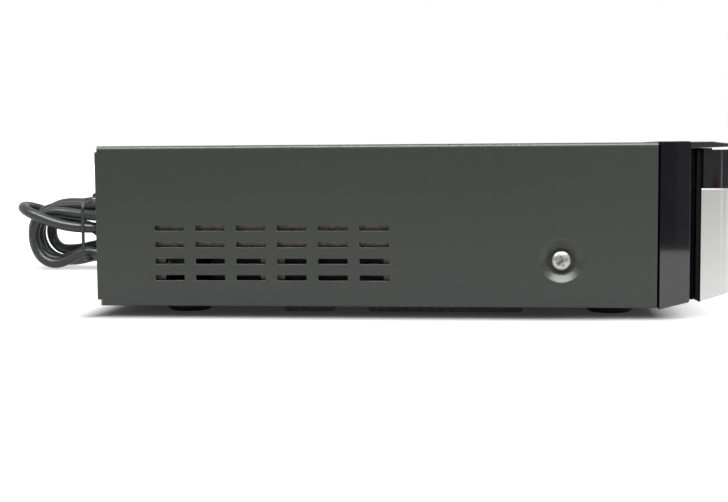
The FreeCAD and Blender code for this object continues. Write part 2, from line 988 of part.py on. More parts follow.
def display_module():
    glass = block(
        (display_left, display_right), (display_y, display_y + 5), (display_low_z, display_high_z),
    )
    stem = block(
        (display_left + 3, display_right - 3), (display_y + 5, front_board_y - board_thickness),
        (display_low_z + 1, display_high_z - 1),
    )
    board = block(
        (display_left - 6, display_right + 6), (front_board_y - board_thickness, front_board_y),
        (display_low_z - 2, display_high_z + 2),
    )
    board_face_y = front_board_y - board_thickness
    pins = [
        block(around(x, 1.2), (board_face_y, front_board_y + 2), around(display_low_z, 1.2))
        for x in (display_left + 10, display_right - 10)
    ]
    spacer_y = (bezel_front_y + bezel_wall, board_face_y)
    spacers = [
        block(around(x, 3), spacer_y, (display_low_z - 2, display_high_z + 2))
        for x in (display_left - 4, display_right + 4)
    ]
    return fused([glass, stem, board] + pins + spacers)


def switch_body(x, z, front_y):
    # A small square switch on a board's front face, its plunger towards the key
    base = block(
        around(x, 6), (front_board_y - board_thickness - 1.0, front_board_y - board_thickness),
        around(z, 6),
    )
    return base.fuse(front_hole(x, z, 1.0, (front_y, front_board_y - board_thickness)))


def stem_end_y(travel):
    return front_board_y - board_thickness - 1.0 - travel - 0.6


def power_switch_board():
    board = block(
        around(power_x, switch_board_width), (front_board_y - board_thickness, front_board_y),
        around(round_button_z, switch_board_height),
    )
    return fused([board, switch_body(power_x, round_button_z, stem_end_y(0) + 0.4)])


def control_board():
    board = block(
        (eject_x - 10, flap_right), (front_board_y - board_thickness, front_board_y),
        (front_socket_z - 8, flap_high_z + 2.5),
    )
    switches = [switch_body(x, key_z, stem_end_y(0) + 0.4) for x in key_places()]
    switches.append(switch_body(eject_x, round_button_z, stem_end_y(0) + 0.4))
    return fused([board] + switches)


def round_button(x):
    cap = front_hole(x, round_button_z, round_button_radius, (fascia_y - 0.5, fascia_y + fascia_wall + 1.2))
    collar = front_hole(
        x, round_button_z, round_button_radius + 1.0,
        (fascia_y + fascia_wall + 0.2, fascia_y + fascia_wall + 1.4),
    )
    stem = front_hole(x, round_button_z, 2.2, (fascia_y + fascia_wall + 1, stem_end_y(round_button_travel)))
    return fused([cap, collar, stem])


def key_places():
    return [key_first + index * key_spacing for index in range(key_count)]


def panel_key(x):
    face_y = seam_y - panel_front
    cap = block(around(x, key_width), (face_y - 1.2, face_y + panel_wall + 0.4), around(key_z, key_height))
    collar = block(
        around(x, key_width + 1.6), (face_y + panel_wall + 0.2, face_y + panel_wall + 1.2),
        around(key_z, key_height + 1.2),
    )
    stem = block(around(x, 3), (face_y + panel_wall, stem_end_y(key_travel)), around(key_z, 2.4))
    return fused([cap, collar, stem])


def control_panel():
    face_y = seam_y - panel_front
    x = (flap_left + 1.2, flap_right - 1.2)
    z = (flap_axis_z - 1.6, silver_high_z - 1.6 - seat_gap)
    body = block(x, (face_y, step_y), z)
    hollow = block(
        (x[0] + panel_wall, x[1] - panel_wall), (face_y + panel_wall, step_y + 1),
        (z[0] + panel_wall, z[1] - panel_wall),
    )
    through = (face_y - 1, face_y + panel_wall + 1)
    hole_width = key_width + 2 * button_clearance
    hole_height = key_height + 2 * button_clearance
    holes = [block(around(px, hole_width), through, around(key_z, hole_height)) for px in key_places()]
    for px, width, height in front_sockets():
        holes.append(block(around(px, width + 0.4), through, around(front_socket_z, height + 0.4)))
    return cut(body.cut(hollow), holes)


def front_sockets():
    return (
        (usb_x, usb_width, usb_height), (card_x, card_width, card_height),
        (access_x, access_width, access_height),
    )


def socket_shell(x, z, width, height, y, wall, tongue):
    # An open-fronted sheet box with a tongue inside; y runs from the mouth to the back
    inward = 1 if y[1] > y[0] else -1
    low, high = sorted(y)
    outer = block(around(x, width), (low, high), around(z, height))
    mouth = sorted((y[0] - inward, y[1] - inward * wall * 2))
    shell = outer.cut(block(around(x, width - 2 * wall), mouth, around(z, height - 2 * wall)))
    if tongue:
        span = sorted((y[0] + inward * 2, y[1]))
        shell = shell.fuse(block(around(x, width - 2.6), span, around(z, height * 0.26)))
    return shell.removeSplitter()


def front_socket_shells():
    # The card slots are open boxes and the narrow data socket has a tongue
    y = (seam_y - panel_front - 0.2, front_board_y - board_thickness)
    return [socket_shell(x, front_socket_z, width, height, y, shell_wall, width == usb_width)
            for x, width, height in front_sockets()]


def control_flap():
    x = (flap_left, flap_right)
    nose = rod(flap_nose(), (x[0], flap_axis_y(), flap_axis_z), (1, 0, 0), x[1] - x[0])
    plate = block(x, (fascia_y, fascia_y + flap_thickness), (flap_axis_z, flap_high_z))
    well = block(
        (x[0] + 1.6, x[1] - 1.6), (fascia_y + 1.4, fascia_y + 3), (flap_axis_z + 4, flap_high_z - 1.6),
    )
    pins = [
        rod(
            flap_pin_radius, (x[0] - flap_pin_length, flap_axis_y(), flap_axis_z), (1, 0, 0),
            flap_pin_length,
        ),
        rod(flap_pin_radius, (x[1], flap_axis_y(), flap_axis_z), (1, 0, 0), flap_pin_length),
    ]
    return fused([plate.cut(well), nose] + pins)


# The disc drive
def drive_bracket():
    x = (drive_x - drive_width / 2 - sheet, drive_x + drive_width / 2 + sheet)
    y = (drive_front_y + 10, drive_rear_y)
    top = block(x, y, (drive_low_z - sheet, drive_low_z))
    gap = block(
        (drive_x - drive_width / 2 + 10, drive_x + drive_width / 2 - 10), (y[0] - 1, y[1] - 12),
        (0, top_z),
    )
    legs = [
        block((x[0], x[0] + sheet), y, (pan_top, drive_low_z)),
        block((x[1] - sheet, x[1]), y, (pan_top, drive_low_z)),
    ]
    feet_low, feet_high = bracket_feet()
    toes = [block(span, (y[0], y[0] + 14), (pan_top, pan_top + sheet)) for span in (feet_low, feet_high)]
    toes += [block(span, (y[1] - 14, y[1]), (pan_top, pan_top + sheet)) for span in (feet_low, feet_high)]
    windows = [block((x[0] - 1, x[1] + 1), (y[0] + 24, y[1] - 24), (pan_top + 5, drive_low_z - 5))]
    return cut(fused([top.cut(gap)] + legs + toes), windows)


def gear_place():
    pitch_x = drive_x - rack_offset + rack_body + 1.25 * rack_module
    return (pitch_x + rack_module * pinion_teeth / 2, behind(gear_behind))


def pulley_gear_place():
    x, y = gear_place()
    return (x + gear_module * (wheel_teeth + small_pinion_teeth) / 2, y)


def motor_place():
    return (gear_place()[0] + motor_offset, behind(gear_behind))


def hinge_ears():
    reach = traverse_width / 2
    return [
        (drive_x - reach - hinge_pin_length - 0.5, drive_x - reach - 0.5),
        (drive_x + reach + 0.5, drive_x + reach + hinge_pin_length + 0.5),
    ]


def drive_chassis():
    x = around(drive_x, drive_width)
    y = (drive_front_y, drive_rear_y)
    body = block(x, y, (drive_low_z, drive_top_z))
    room = block(
        (x[0] + drive_wall, x[1] - drive_wall), (y[0] + drive_wall, y[1] - drive_wall),
        (drive_floor_z, drive_top_z + 1),
    )
    tray_mouth = block(
        tray_span(0.7), (y[0] - 1, y[0] + drive_wall + 1), (rack_low_z - 0.6, tray_high_z + 0.8),
    )
    reach = traverse_width / 2 + 3
    floor_gap = block(
        (drive_x - reach, drive_x + reach), (behind(traverse_front - 4), behind(traverse_rear + 3)),
        (drive_low_z - 1, drive_floor_z + 1),
    )
    body = body.cut([room, tray_mouth, floor_gap])
    parts = []
    for side in (-1, 1):
        inner = drive_x + side * (tray_width / 2 + rib_overlap)
        outer = drive_x + side * (drive_width / 2 - drive_wall + 0.5)
        for low in (rail_low_z - seat_gap - rail_rib, rail_high_z + seat_gap):
            rail = block(
                sorted((inner, outer)), (y[0] + drive_wall, y[1] - drive_wall), (low, low + rail_rib),
            )
            parts.append(rail)
    for place, top in (
        (gear_place(), pinion_low_z + pinion_height), (pulley_gear_place(), wheel_low_z + wheel_height),
    ):
        parts.append(
            rod(
                post_pin_radius, (place[0], place[1], drive_floor_z - 1), (0, 0, 1),
                top - drive_floor_z + 1,
            )
        )
        base = rod(
            post_pin_radius + 1.2, (place[0], place[1], drive_floor_z - 1), (0, 0, 1),
            1 + seat_below(place) - drive_floor_z,
        )
        parts.append(base)
    for span in hinge_ears():
        ear = block(span, around(behind(traverse_hinge), 7), (drive_low_z, hinge_z + 3.2))
        parts.append(ear)
    holes = []
    for span in hinge_ears():
        start = (span[0] - 1, behind(traverse_hinge), hinge_z)
        holes.append(rod(hinge_radius + running_gap, start, (1, 0, 0), hinge_pin_length + 2))
    shaft = motor_place()
    holes.append(rod(2.5, (shaft[0], shaft[1], drive_low_z - 1), (0, 0, 1), drive_wall + 2))
    return cut(body.fuse(parts), holes)


def seat_below(place):
    # The height of the shoulder that carries the gear on each post
    return wheel_low_z - seat_gap if place == gear_place() else pulley_low_z - seat_gap


def drive_cover():
    x = around(drive_x, drive_width)
    y = (drive_front_y, drive_rear_y)
    plate = block((x[0] - sheet, x[1] + sheet), y, (drive_top_z, drive_top_z + sheet))
    skirts = [
        block((x[0] - sheet, x[0]), y, (drive_top_z - 6, drive_top_z + sheet)),
        block((x[1], x[1] + sheet), y, (drive_top_z - 6, drive_top_z + sheet)),
    ]
    hole = rod(clamper_neck_radius + 0.5, (drive_x, disc_y, drive_top_z - 1), (0, 0, 1), sheet + 2)
    return cut(fused([plate] + skirts), hole)


def disc_tray():
    half = tray_width / 2
    y = (fascia_y + lid_depth, behind(tray_end_behind))
    body = block((drive_x - half, drive_x + half), y, (tray_low_z, tray_high_z))
    under = block(
        (drive_x - half + 3, drive_x + half - 3), (y[0] + 3, y[1] + 1), (tray_low_z - 1, tray_hollow_z),
    )
    recess = rod(disc_radius + disc_clearance, (drive_x, disc_y, tray_floor_z), (0, 0, 1), tray_high_z)
    inner = rod(
        small_disc_radius + disc_clearance, (drive_x, disc_y, tray_inner_floor_z), (0, 0, 1),
        tray_high_z,
    )
    slot = block(around(drive_x, slot_width), (disc_y, y[1] + 1), (0, top_z))
    slot_end = rod(slot_width / 2, (drive_x, disc_y, 0), (0, 0, 1), top_z)
    thumb = rod(
        finger_notch_radius, (drive_x, disc_y - disc_radius - 1, tray_inner_floor_z), (0, 0, 1),
        tray_high_z,
    )
    body = body.cut([under, recess, inner, slot, slot_end, thumb])
    rails = []
    rail_front = drive_front_y + drive_wall + 1
    for side in (-1, 1):
        edges = sorted((drive_x + side * (half - 1), drive_x + side * (half + rail_width)))
        rails.append(block(edges, (rail_front, y[1]), (rail_low_z, rail_high_z)))
    return fused([body, rack()] + rails)


def rack():
    # Straight teeth facing +x along the tray's underside
    back = drive_x - rack_offset
    root = back + rack_body
    tip = root + 2.25 * rack_module
    pitch = math.pi * rack_module
    slant = math.tan(math.radians(20))
    half_tip = pitch / 4 - gear_backlash / 2 - slant * rack_module
    half_root = pitch / 4 - gear_backlash / 2 + slant * 1.25 * rack_module
    first = -3
    points = []
    for index in range(rack_teeth):
        y = behind(gear_behind) + (first + index) * pitch
        points += [(root, y - half_root), (tip, y - half_tip), (tip, y + half_tip), (root, y + half_root)]
    ends = (points[0][1] - 1, points[-1][1] + 1)
    outline = [(back, ends[0]), (root, ends[0])] + points + [(root, ends[1]), (back, ends[1])]
    corners = [(x, y, rack_low_z) for x, y in outline]
    return prism(corners, (0, 0, tray_hollow_z - rack_low_z))


def tray_lid():
    x = around(drive_x, lid_width)
    y = (fascia_y, fascia_y + lid_depth)
    lid = block(x, y, (lid_low_z, lid_high_z))
    well = block((x[0] + 2, x[1] - 2), (y[0] + fascia_wall, y[1] + 1), (lid_low_z + 2, tray_low_z - 1.5))
    return cut(lid, well)


def involute(angle):
    return math.tan(angle) - angle


def gear(module, teeth, place, low, height, tooth_angle):
    # An involute spur gear with a tooth centred at tooth_angle
    pitch = module * teeth / 2
    base = pitch * math.cos(math.radians(20))
    root = pitch - 1.25 * module
    tip = pitch + module
    half_pitch = math.pi / (2 * teeth) - gear_backlash / (4 * pitch)
    radii = [max(base, root), pitch, (pitch + tip) / 2, tip]
    start = involute(math.radians(20))
    half = [half_pitch + start - involute(math.acos(min(1, base / radius))) for radius in radii]
    flank = [(root, half[0])] + list(zip(radii, half)) if base > root else list(zip(radii, half))
    corners = []
    for index in range(teeth):
        centre = tooth_angle + index * 2 * math.pi / teeth
        for radius, turn in [(r, -h) for r, h in flank] + [(r, h) for r, h in reversed(flank)]:
            angle = centre + turn
            corners.append((place[0] + radius * math.cos(angle), place[1] + radius * math.sin(angle), low))
    return prism(corners, (0, 0, height))


def loading_gear():
    place = gear_place()
    half_tooth = math.pi / pinion_teeth
    pinion = gear(rack_module, pinion_teeth, place, pinion_low_z, pinion_height, math.pi + half_tooth)
    wheel = gear(gear_module, wheel_teeth, place, wheel_low_z, wheel_height, 0)
    hub = rod(5, (place[0], place[1], wheel_low_z), (0, 0, 1), pinion_low_z + pinion_height - wheel_low_z)
    bore = rod(post_pin_radius + running_gap, (place[0], place[1], drive_low_z), (0, 0, 1), drive_height)
    return cut(pinion.fuse([wheel, hub]), bore)


def grooved_pulley(place, radius, low, height):
    side = (height - belt_thickness) / 2 - 0.2
    core = rod(radius, (place[0], place[1], low), (0, 0, 1), height)
    wide = radius + belt_thickness + pulley_flange
    flanges = [
        rod(wide, (place[0], place[1], low), (0, 0, 1), side),
        rod(wide, (place[0], place[1], low + height - side), (0, 0, 1), side),
    ]
    return core.fuse(flanges)


def pulley_gear():
    place = pulley_gear_place()
    half_tooth = math.pi / small_pinion_teeth
    pinion = gear(
        gear_module, small_pinion_teeth, place, pulley_low_z + pulley_height,
        wheel_low_z + wheel_height - pulley_low_z - pulley_height, math.pi + half_tooth,
    )
    pulley = grooved_pulley(place, pulley_radius, pulley_low_z, pulley_height)
    bore = rod(post_pin_radius + running_gap, (place[0], place[1], drive_low_z), (0, 0, 1), drive_height)
    return cut(pulley.fuse(pinion), bore)


def motor_pulley():
    place = motor_place()
    pulley = grooved_pulley(place, motor_pulley_radius, pulley_low_z, pulley_height)
    shaft = rod(1.0, (place[0], place[1], drive_low_z - 6), (0, 0, 1), pulley_low_z - drive_low_z + 6)
    return fused([pulley, shaft])


def loading_motor():
    place = motor_place()
    low = drive_low_z - loading_motor_height
    can = rod(loading_motor_radius, (place[0], place[1], low), (0, 0, 1), loading_motor_height)
    flats = [block(around(place[0], 3 * loading_motor_radius), span, (low - 1, drive_low_z - 1))
             for span in ((place[1] - 12, place[1] - 8), (place[1] + 8, place[1] + 12))]
    bore = rod(1.0 + running_gap, (place[0], place[1], drive_low_z - 7), (0, 0, 1), 8)
    return cut(can, flats + [bore])


def belt_outline(large, small, first, second, z):
    # The tight outline round two circles, as two arcs and two straight runs
    span = second[0] - first[0]
    lean = math.acos((large - small) / span)

    def on(centre, radius, angle):
        return Vector(centre[0] + radius * math.cos(angle), centre[1] + radius * math.sin(angle), z)

    upper = (on(first, large, lean), on(second, small, lean))
    lower = (on(first, large, -lean), on(second, small, -lean))
    edges = [
        Part.LineSegment(upper[0], upper[1]).toShape(),
        Part.Arc(upper[1], on(second, small, 0), lower[1]).toShape(),
        Part.LineSegment(lower[1], lower[0]).toShape(),
        Part.Arc(lower[0], on(first, large, math.pi), upper[0]).toShape(),
    ]
    return Part.Wire(edges)


def drive_belt():
    z = pulley_low_z + (pulley_height - belt_thickness) / 2
    first, second = pulley_gear_place(), motor_place()
    inner = (pulley_radius + running_gap, motor_pulley_radius + running_gap)
    outer = (inner[0] + belt_thickness, inner[1] + belt_thickness)
    rise = Vector(0, 0, belt_thickness)
    solids = [
        Part.Face(belt_outline(large, small, first, second, z)).extrude(rise)
        for large, small in (outer, inner)
    ]
    return cut(solids[0], solids[1])


# Traverse, spindle and pickup
def rod_places():
    return (drive_x - rod_spacing / 2, drive_x + rod_spacing / 2)


def traverse_frame():
    x = around(drive_x, traverse_width)
    plate = block(
        x, (behind(traverse_front), behind(traverse_rear)),
        (traverse_low_z, traverse_low_z + traverse_sheet),
    )
    window = block(
        around(drive_x, pickup_window_width), (behind(pickup_window_front), behind(pickup_window_rear)),
        (0, top_z),
    )
    lugs = []
    holes = [window]
    for rod_x in rod_places():
        for y in (rod_front, rod_rear - rod_lug):
            lugs.append(
                block(around(rod_x, 5), (behind(y), behind(y + rod_lug)), (traverse_low_z, rod_z + 2.3))
            )
        holes.append(
            rod(
                rod_radius + running_gap, (rod_x, behind(rod_front - 1), rod_z), (0, 1, 0),
                rod_rear - rod_front + 2,
            )
        )
    screw_x = drive_x - lead_screw_offset
    lugs.append(
        block(
            around(screw_x, 5), (behind(rod_rear - rod_lug), behind(rod_rear)),
            (traverse_low_z, rod_z + 2.3),
        )
    )
    holes.append(
        rod(
            lead_screw_radius + running_gap, (screw_x, behind(rod_front), rod_z), (0, 1, 0),
            rod_rear - rod_front + 2,
        )
    )
    pins = [
        rod(
            hinge_radius, (x[0] - hinge_pin_length, behind(traverse_hinge), hinge_z), (1, 0, 0),
            hinge_pin_length + 2,
        ),
        rod(hinge_radius, (x[1] - 2, behind(traverse_hinge), hinge_z), (1, 0, 0), hinge_pin_length + 2),
    ]
    barrel = block(x, around(behind(traverse_hinge), 4), (hinge_z - 1, hinge_z + 1.6))
    return cut(plate.fuse(lugs + pins + [barrel]), holes)


def guide_rods():
    return group(
        [
            rod(rod_radius, (x, behind(rod_front), rod_z), (0, 1, 0), rod_rear - rod_front)
            for x in rod_places()
        ]
    )


def sled_lens_y():
    return disc_y + sled_first


def pickup_sled():
    y = (sled_lens_y() - sled_front, sled_lens_y() + sled_rear)
    half = rod_spacing / 2
    body = block((drive_x - half + 4, drive_x + half - 4), y, (sled_low_z, sled_high_z))
    arms = [
        block(around(x, 2 * rod_radius + 3), (y[0] + 3, y[1] - 3), (rod_z - 2.4, rod_z + 2.4))
        for x in rod_places()
    ]
    bridge = block((drive_x - half, drive_x + half), (y[0] + 4, y[1] - 4), (rod_z - 1.6, rod_z + 1.6))
    nut = block(
        (drive_x - lead_screw_offset + lead_screw_radius + 0.1, drive_x - half),
        around(sled_lens_y() + 6, 6), (rod_z - 1.2, rod_z + 1.2),
    )
    turret = rod(7, (drive_x, sled_lens_y(), sled_high_z - 1), (0, 0, 1), 2.4)
    bores = [rod(rod_radius + running_gap, (x, y[0], rod_z), (0, 1, 0), y[1] - y[0]) for x in rod_places()]
    seat = rod(lens_radius, (drive_x, sled_lens_y(), sled_high_z - 1), (0, 0, 1), 6)
    return cut(body.fuse(arms + [bridge, nut, turret]), bores + [seat])


def pickup_lens():
    centre = (drive_x, sled_lens_y(), sled_high_z - 1)
    barrel = rod(lens_radius, centre, (0, 0, 1), lens_high_z - sled_high_z)
    dome = Part.makeSphere(
        lens_radius * 1.4, Vector(drive_x, sled_lens_y(), lens_high_z - lens_radius * 1.4),
    )
    dome = dome.common(rod(lens_radius * 0.8, (drive_x, sled_lens_y(), lens_high_z - 1.4), (0, 0, 1), 3))
    return fused([barrel, dome])


def lead_screw():
    x = drive_x - lead_screw_offset
    start = behind(rod_front + 3)
    return rod(lead_screw_radius, (x, start, rod_z), (0, 1, 0), behind(rod_rear) - start)


def sled_motor():
    x = drive_x - lead_screw_offset
    y = behind(rod_front + 3 - sled_motor_length)
    can = rod(sled_motor_radius, (x, y, rod_z), (0, 1, 0), sled_motor_length - 1)
    cradle = block(
        around(x, 4), (y + 1, y + sled_motor_length - 2), (traverse_low_z + traverse_sheet, rod_z),
    )
    bore = rod(lead_screw_radius + running_gap, (x, y + sled_motor_length - 4, rod_z), (0, 1, 0), 5)
    return cut(fused([can, cradle]), bore)


def spindle_motor():
    base_z = traverse_low_z + traverse_sheet
    ring = rod(spindle_motor_radius, (drive_x, disc_y, base_z), (0, 0, 1), spindle_motor_height)
    plate = block(around(drive_x, 30), (disc_y - 15, disc_y + 11), (base_z, base_z + 1.2))
    bore = rod(1.5 + running_gap, (drive_x, disc_y, base_z + 1), (0, 0, 1), spindle_motor_height + 2)
    return cut(fused([ring, plate]), bore)


def turntable():
    shaft_z = traverse_low_z + traverse_sheet + 1.2
    shaft = rod(1.5, (drive_x, disc_y, shaft_z), (0, 0, 1), turntable_low_z - shaft_z)
    table = rod(turntable_radius, (drive_x, disc_y, turntable_low_z), (0, 0, 1), turntable_height)
    hub_z = turntable_low_z + turntable_height
    hub = cone(hub_radius, hub_radius - 2.2, (drive_x, disc_y, hub_z), (0, 0, 1), hub_height)
    skirt = rod(spindle_motor_radius, (drive_x, disc_y, turntable_low_z - 1.6), (0, 0, 1), 1.6)
    return fused([shaft, table, hub, skirt])


def clamper():
    pad = rod(clamper_pad_radius, (drive_x, disc_y, clamper_low_z), (0, 0, 1), 2)
    low = drive_top_z + sheet + seat_gap
    neck = rod(
        clamper_neck_radius, (drive_x, disc_y, clamper_low_z + 2), (0, 0, 1), low - clamper_low_z - 2,
    )
    flange = rod(clamper_flange_radius, (drive_x, disc_y, low), (0, 0, 1), clamper_flange)
    dish = rod(clamper_neck_radius - 2.5, (drive_x, disc_y, clamper_low_z + 6), (0, 0, 1), drive_height)
    return cut(fused([pad, neck, flange]), dish)


# Hard disc
def disk_origin():
    return (disk_left + disk_width / 2, behind(disk_behind), board_z)


def platter_place():
    x, y, z = disk_origin()
    return (x, y + platter_radius + disk_wall + 1.2)


def actuator_place():
    x, y = platter_place()
    return (x + 22, y + platter_radius + 11)


def disk_base():
    x, y, z = disk_origin()
    high = z + disk_height - 1.6
    body = rounded_block(around(x, disk_width), (y, y + disk_length), (z, high), 3)
    px, py = platter_place()
    round_room = rod(platter_radius + 1, (px, py, z + 6), (0, 0, 1), disk_height)
    rear_room = block(
        around(x, disk_width - 2 * disk_wall - 4), (py + 20, y + disk_length - disk_wall),
        (z + 6, high + 1),
    )
    ax, ay = actuator_place()
    post = rod(3, (ax, ay, z + 5), (0, 0, 1), high - z - 6)
    spindle = rod(3, (px, py, z + 5), (0, 0, 1), high - z - 6)
    holes = [
        rod(board_screw_radius + running_gap, (hx, hy, z - 1), (0, 0, 1), 5)
        for hx, hy in disk_holes()
    ]
    return cut(body.cut([round_room, rear_room]).fuse([post, spindle]), holes)


def disk_cover():
    x, y, z = disk_origin()
    return rounded_block(
        around(x, disk_width - 1), (y + 0.5, y + disk_length - 0.5),
        (z + disk_height - 1.6, z + disk_height), 3,
    )


def platters():
    px, py = platter_place()
    z = disk_origin()[2]
    discs = [
        rod(platter_radius, (px, py, z + 9 + index * platter_pitch), (0, 0, 1), platter_thickness)
        for index in (0, 1)
    ]
    hub = rod(14, (px, py, z + 7), (0, 0, 1), platter_pitch + platter_thickness + 4)
    return cut(fused(discs + [hub]), rod(3 + running_gap, (px, py, z), (0, 0, 1), disk_height * 2))


def actuator():
    ax, ay = actuator_place()
    px, py = platter_place()
    z = disk_origin()[2]
    aim = math.atan2(py + 26 - ay, px + 26 - ax)
    reach = math.hypot(py + 26 - ay, px + 26 - ax)
    hub = rod(7, (ax, ay, z + 7), (0, 0, 1), platter_pitch + platter_thickness + 4)
    arms = []
    gap = platter_pitch - platter_thickness

    def turned(corners, low):
        shape = []
        for u, v in corners:
            x = ax + u * math.cos(aim) - v * math.sin(aim)
            y = ay + u * math.sin(aim) + v * math.cos(aim)
            shape.append((x, y, low))
        return shape

    for low in (z + 9 + platter_thickness + gap / 2 - 0.5, z + 9 - 1.4):
        arm = [(-0.1 * reach, -5), (reach, -1.6), (reach, 1.6), (-0.1 * reach, 5)]
        arms.append(prism(turned(arm, low), (0, 0, 1.0)))
    coil = prism(turned([(-6, -4), (-18, -9), (-18, 9), (-6, 4)], z + 10), (0, 0, 3))
    return cut(fused([hub, coil] + arms), rod(3 + running_gap, (ax, ay, z), (0, 0, 1), disk_height * 2))


# Boards and their parts
def chip_place():
    return ((main_board_left + main_board_right) / 2, behind(main_board_front) + chip_from_front)


def screw_bores(places):
    # Bores through a board for its screws
    radius = board_screw_radius + running_gap
    return [rod(radius, (x, y, board_z - 1), (0, 0, 1), board_thickness + 2) for x, y in places]


def main_board():
    y = (behind(main_board_front), panel_in_y - board_rear_gap)
    board = block((main_board_left, main_board_right), y, (board_z, board_top))
    chip_x, chip_y = chip_place()
    chips = [
        block(
            around(chip_x, chip_size), around(chip_y, chip_size), (board_top, board_top + chip_height),
        )
    ]
    for side_x in (-1, 1):
        for side_y in (-1, 1):
            x = around(chip_x + side_x * memory_across, memory_width)
            y = around(chip_y + side_y * memory_along, memory_depth)
            chips.append(block(x, y, (board_top, board_top + memory_height)))
    front = behind(main_board_front)
    cans = []
    for index in range(can_count):
        start = (main_board_left + can_inset + index * can_pitch, front + can_inset + 2, board_top)
        cans.append(rod(can_radius, start, (0, 0, 1), can_height))
    header_x = around(main_board_right - header_width + 2, header_width)
    header = block(
        header_x, around(front + header_height + 2, header_height),
        (board_top, board_top + header_height),
    )
    return cut(board.fuse(chips + cans + [header]), screw_bores(main_board_holes()))


def main_heatsink():
    x, y = chip_place()
    low = board_top + chip_height
    base = block(around(x, heatsink_size), around(y, heatsink_size), (low, low + heatsink_sheet))
    pitch = heatsink_size / heatsink_fins
    fins = []
    for index in range(heatsink_fins):
        fin_x = around(x - heatsink_size / 2 + pitch * (index + 0.5), pitch * 0.4)
        fins.append(block(fin_x, around(y, heatsink_size), (low + heatsink_sheet, low + heatsink_height)))
    return fused([base] + fins)


def power_board():
    y = (behind(power_board_front), panel_in_y - board_rear_gap)
    board = block((power_board_left, power_board_right), y, (board_z, board_top))
    parts = []
    for index in range(filter_count):
        x = power_board_left + filter_inset + index * filter_pitch
        start = (x, behind(power_board_front) + filter_inset, board_top)
        parts.append(rod(filter_radius, start, (0, 0, 1), filter_height))
    choke_y = around(panel_in_y - inlet_depth - choke_gap - choke_depth / 2, choke_depth)
    parts.append(block(around(inlet_x, choke_width), choke_y, (board_top, board_top + choke_height)))
    film_x = around(inlet_x - choke_width - 2, film_width)
    parts.append(block(film_x, choke_y, (board_top, board_top + film_height)))
    fuse_start = (inlet_x + choke_width, choke_y[0] - 1, board_top + fuse_radius - 0.2)
    parts.append(rod(fuse_radius, fuse_start, (0, 1, 0), fuse_length))
    return cut(board.fuse(parts), screw_bores(power_board_holes()))


def power_middle_y():
    return behind(power_board_front) + power_middle


def power_transformer():
    x = (power_board_left + power_board_right + transformer_base * 2) / 2
    y = power_middle_y()
    top = board_top + transformer_height
    low = board_top + transformer_base
    core = block(around(x, transformer_width), around(y, core_depth), (low, top))
    bobbin_width = transformer_width - 2 * transformer_base
    bobbin = block(
        around(x, bobbin_width), around(y, transformer_depth - 2),
        (low + bobbin_margin, top - bobbin_margin),
    )
    base = block(around(x, transformer_width), around(y, transformer_depth), (board_top, low))
    return fused([core, bobbin, base])


def power_capacitor():
    x = power_board_right - capacitor_inset
    y = power_middle_y()
    can = rod(capacitor_radius, (x, y, board_top), (0, 0, 1), capacitor_height)
    groove_z = board_top + capacitor_height - bobbin_margin
    groove = Part.makeTorus(capacitor_radius, capacitor_groove, Vector(x, y, groove_z), Vector(0, 0, 1))
    return cut(can, groove)


def power_heatsink():
    x = power_board_left + power_heatsink_inset
    y = power_middle_y()
    top = board_top + power_heatsink_height
    web = block(around(x, heatsink_sheet), around(y, power_heatsink_length), (board_top, top))
    fins = []
    for index in range(power_heatsink_fins):
        fin_y = y + (index - (power_heatsink_fins - 1) / 2) * power_heatsink_pitch
        low = board_top + can_height - 1
        fins.append(block(around(x, power_heatsink_width), around(fin_y, heatsink_sheet), (low, top)))
    return fused([web] + fins)


# Rear fan
def fan_frame():
    y = (panel_in_y - fan_depth, panel_in_y)
    body = block(around(fan_x, fan_size), y, around(fan_z, fan_size))
    duct = rod(fan_duct_radius, (fan_x, y[0] - 1, fan_z), (0, 1, 0), fan_depth + 2)
    hub = rod(fan_hub_radius - 1, (fan_x, y[0], fan_z), (0, 1, 0), 1.6)
    strut_y = (y[0], y[0] + 1.6)
    strut_length = 2 * fan_duct_radius + 2
    struts = [
        block(around(fan_x, strut_length), strut_y, around(fan_z, 2.4)),
        block(around(fan_x, 2.4), strut_y, around(fan_z, strut_length)),
    ]
    post = rod(1.5, (fan_x, y[0], fan_z), (0, 1, 0), fan_depth - 2.5)
    holes = [
        rod(board_screw_radius + running_gap, (x, y[0] - 1, z), (0, 1, 0), fan_depth + 2)
        for x, z in fan_screw_places()
    ]
    return cut(body.cut(duct).fuse([hub, post] + struts), holes)


def fan_rotor():
    low = panel_in_y - fan_depth + 2.2
    high = panel_in_y - 1.2
    hub = rod(fan_hub_radius, (fan_x, low, fan_z), (0, 1, 0), high - low)
    room = rod(fan_hub_radius - 1.2, (fan_x, low - 1, fan_z), (0, 1, 0), high - low - 0.4)
    sleeve = rod(3, (fan_x, low, fan_z), (0, 1, 0), high - low)
    bore = rod(1.5 + running_gap, (fan_x, low - 1, fan_z), (0, 1, 0), fan_depth - 2.5 - 2.2 + 1.3)
    blades = []
    span = fan_tip_radius - fan_hub_radius + 0.6
    for index in range(fan_blades):
        wires = []
        for share, twist in ((0, 38), (1, 24)):
            radius = fan_hub_radius - 0.6 + share * span
            chord = 8.4 + 2.4 * share
            rise = (high - low) / 2 - 0.5
            swing = chord / 2 * math.cos(math.radians(twist))
            corners = [(-swing, -rise), (swing, rise - 0.8), (swing, rise), (-swing, -rise + 0.8)]
            ring = [Vector(radius, (low + high) / 2 + v, u) for u, v in corners]
            wires.append(Part.makePolygon(ring + ring[:1]))
        blade = Part.makeLoft(wires, True, True)
        blade.translate(Vector(fan_x, 0, fan_z))
        blade.rotate(Vector(fan_x, 0, fan_z), Vector(0, 1, 0), index * 360 / fan_blades)
        blades.append(blade)
    return cut(hub.cut(room).fuse([sleeve] + blades), bore)


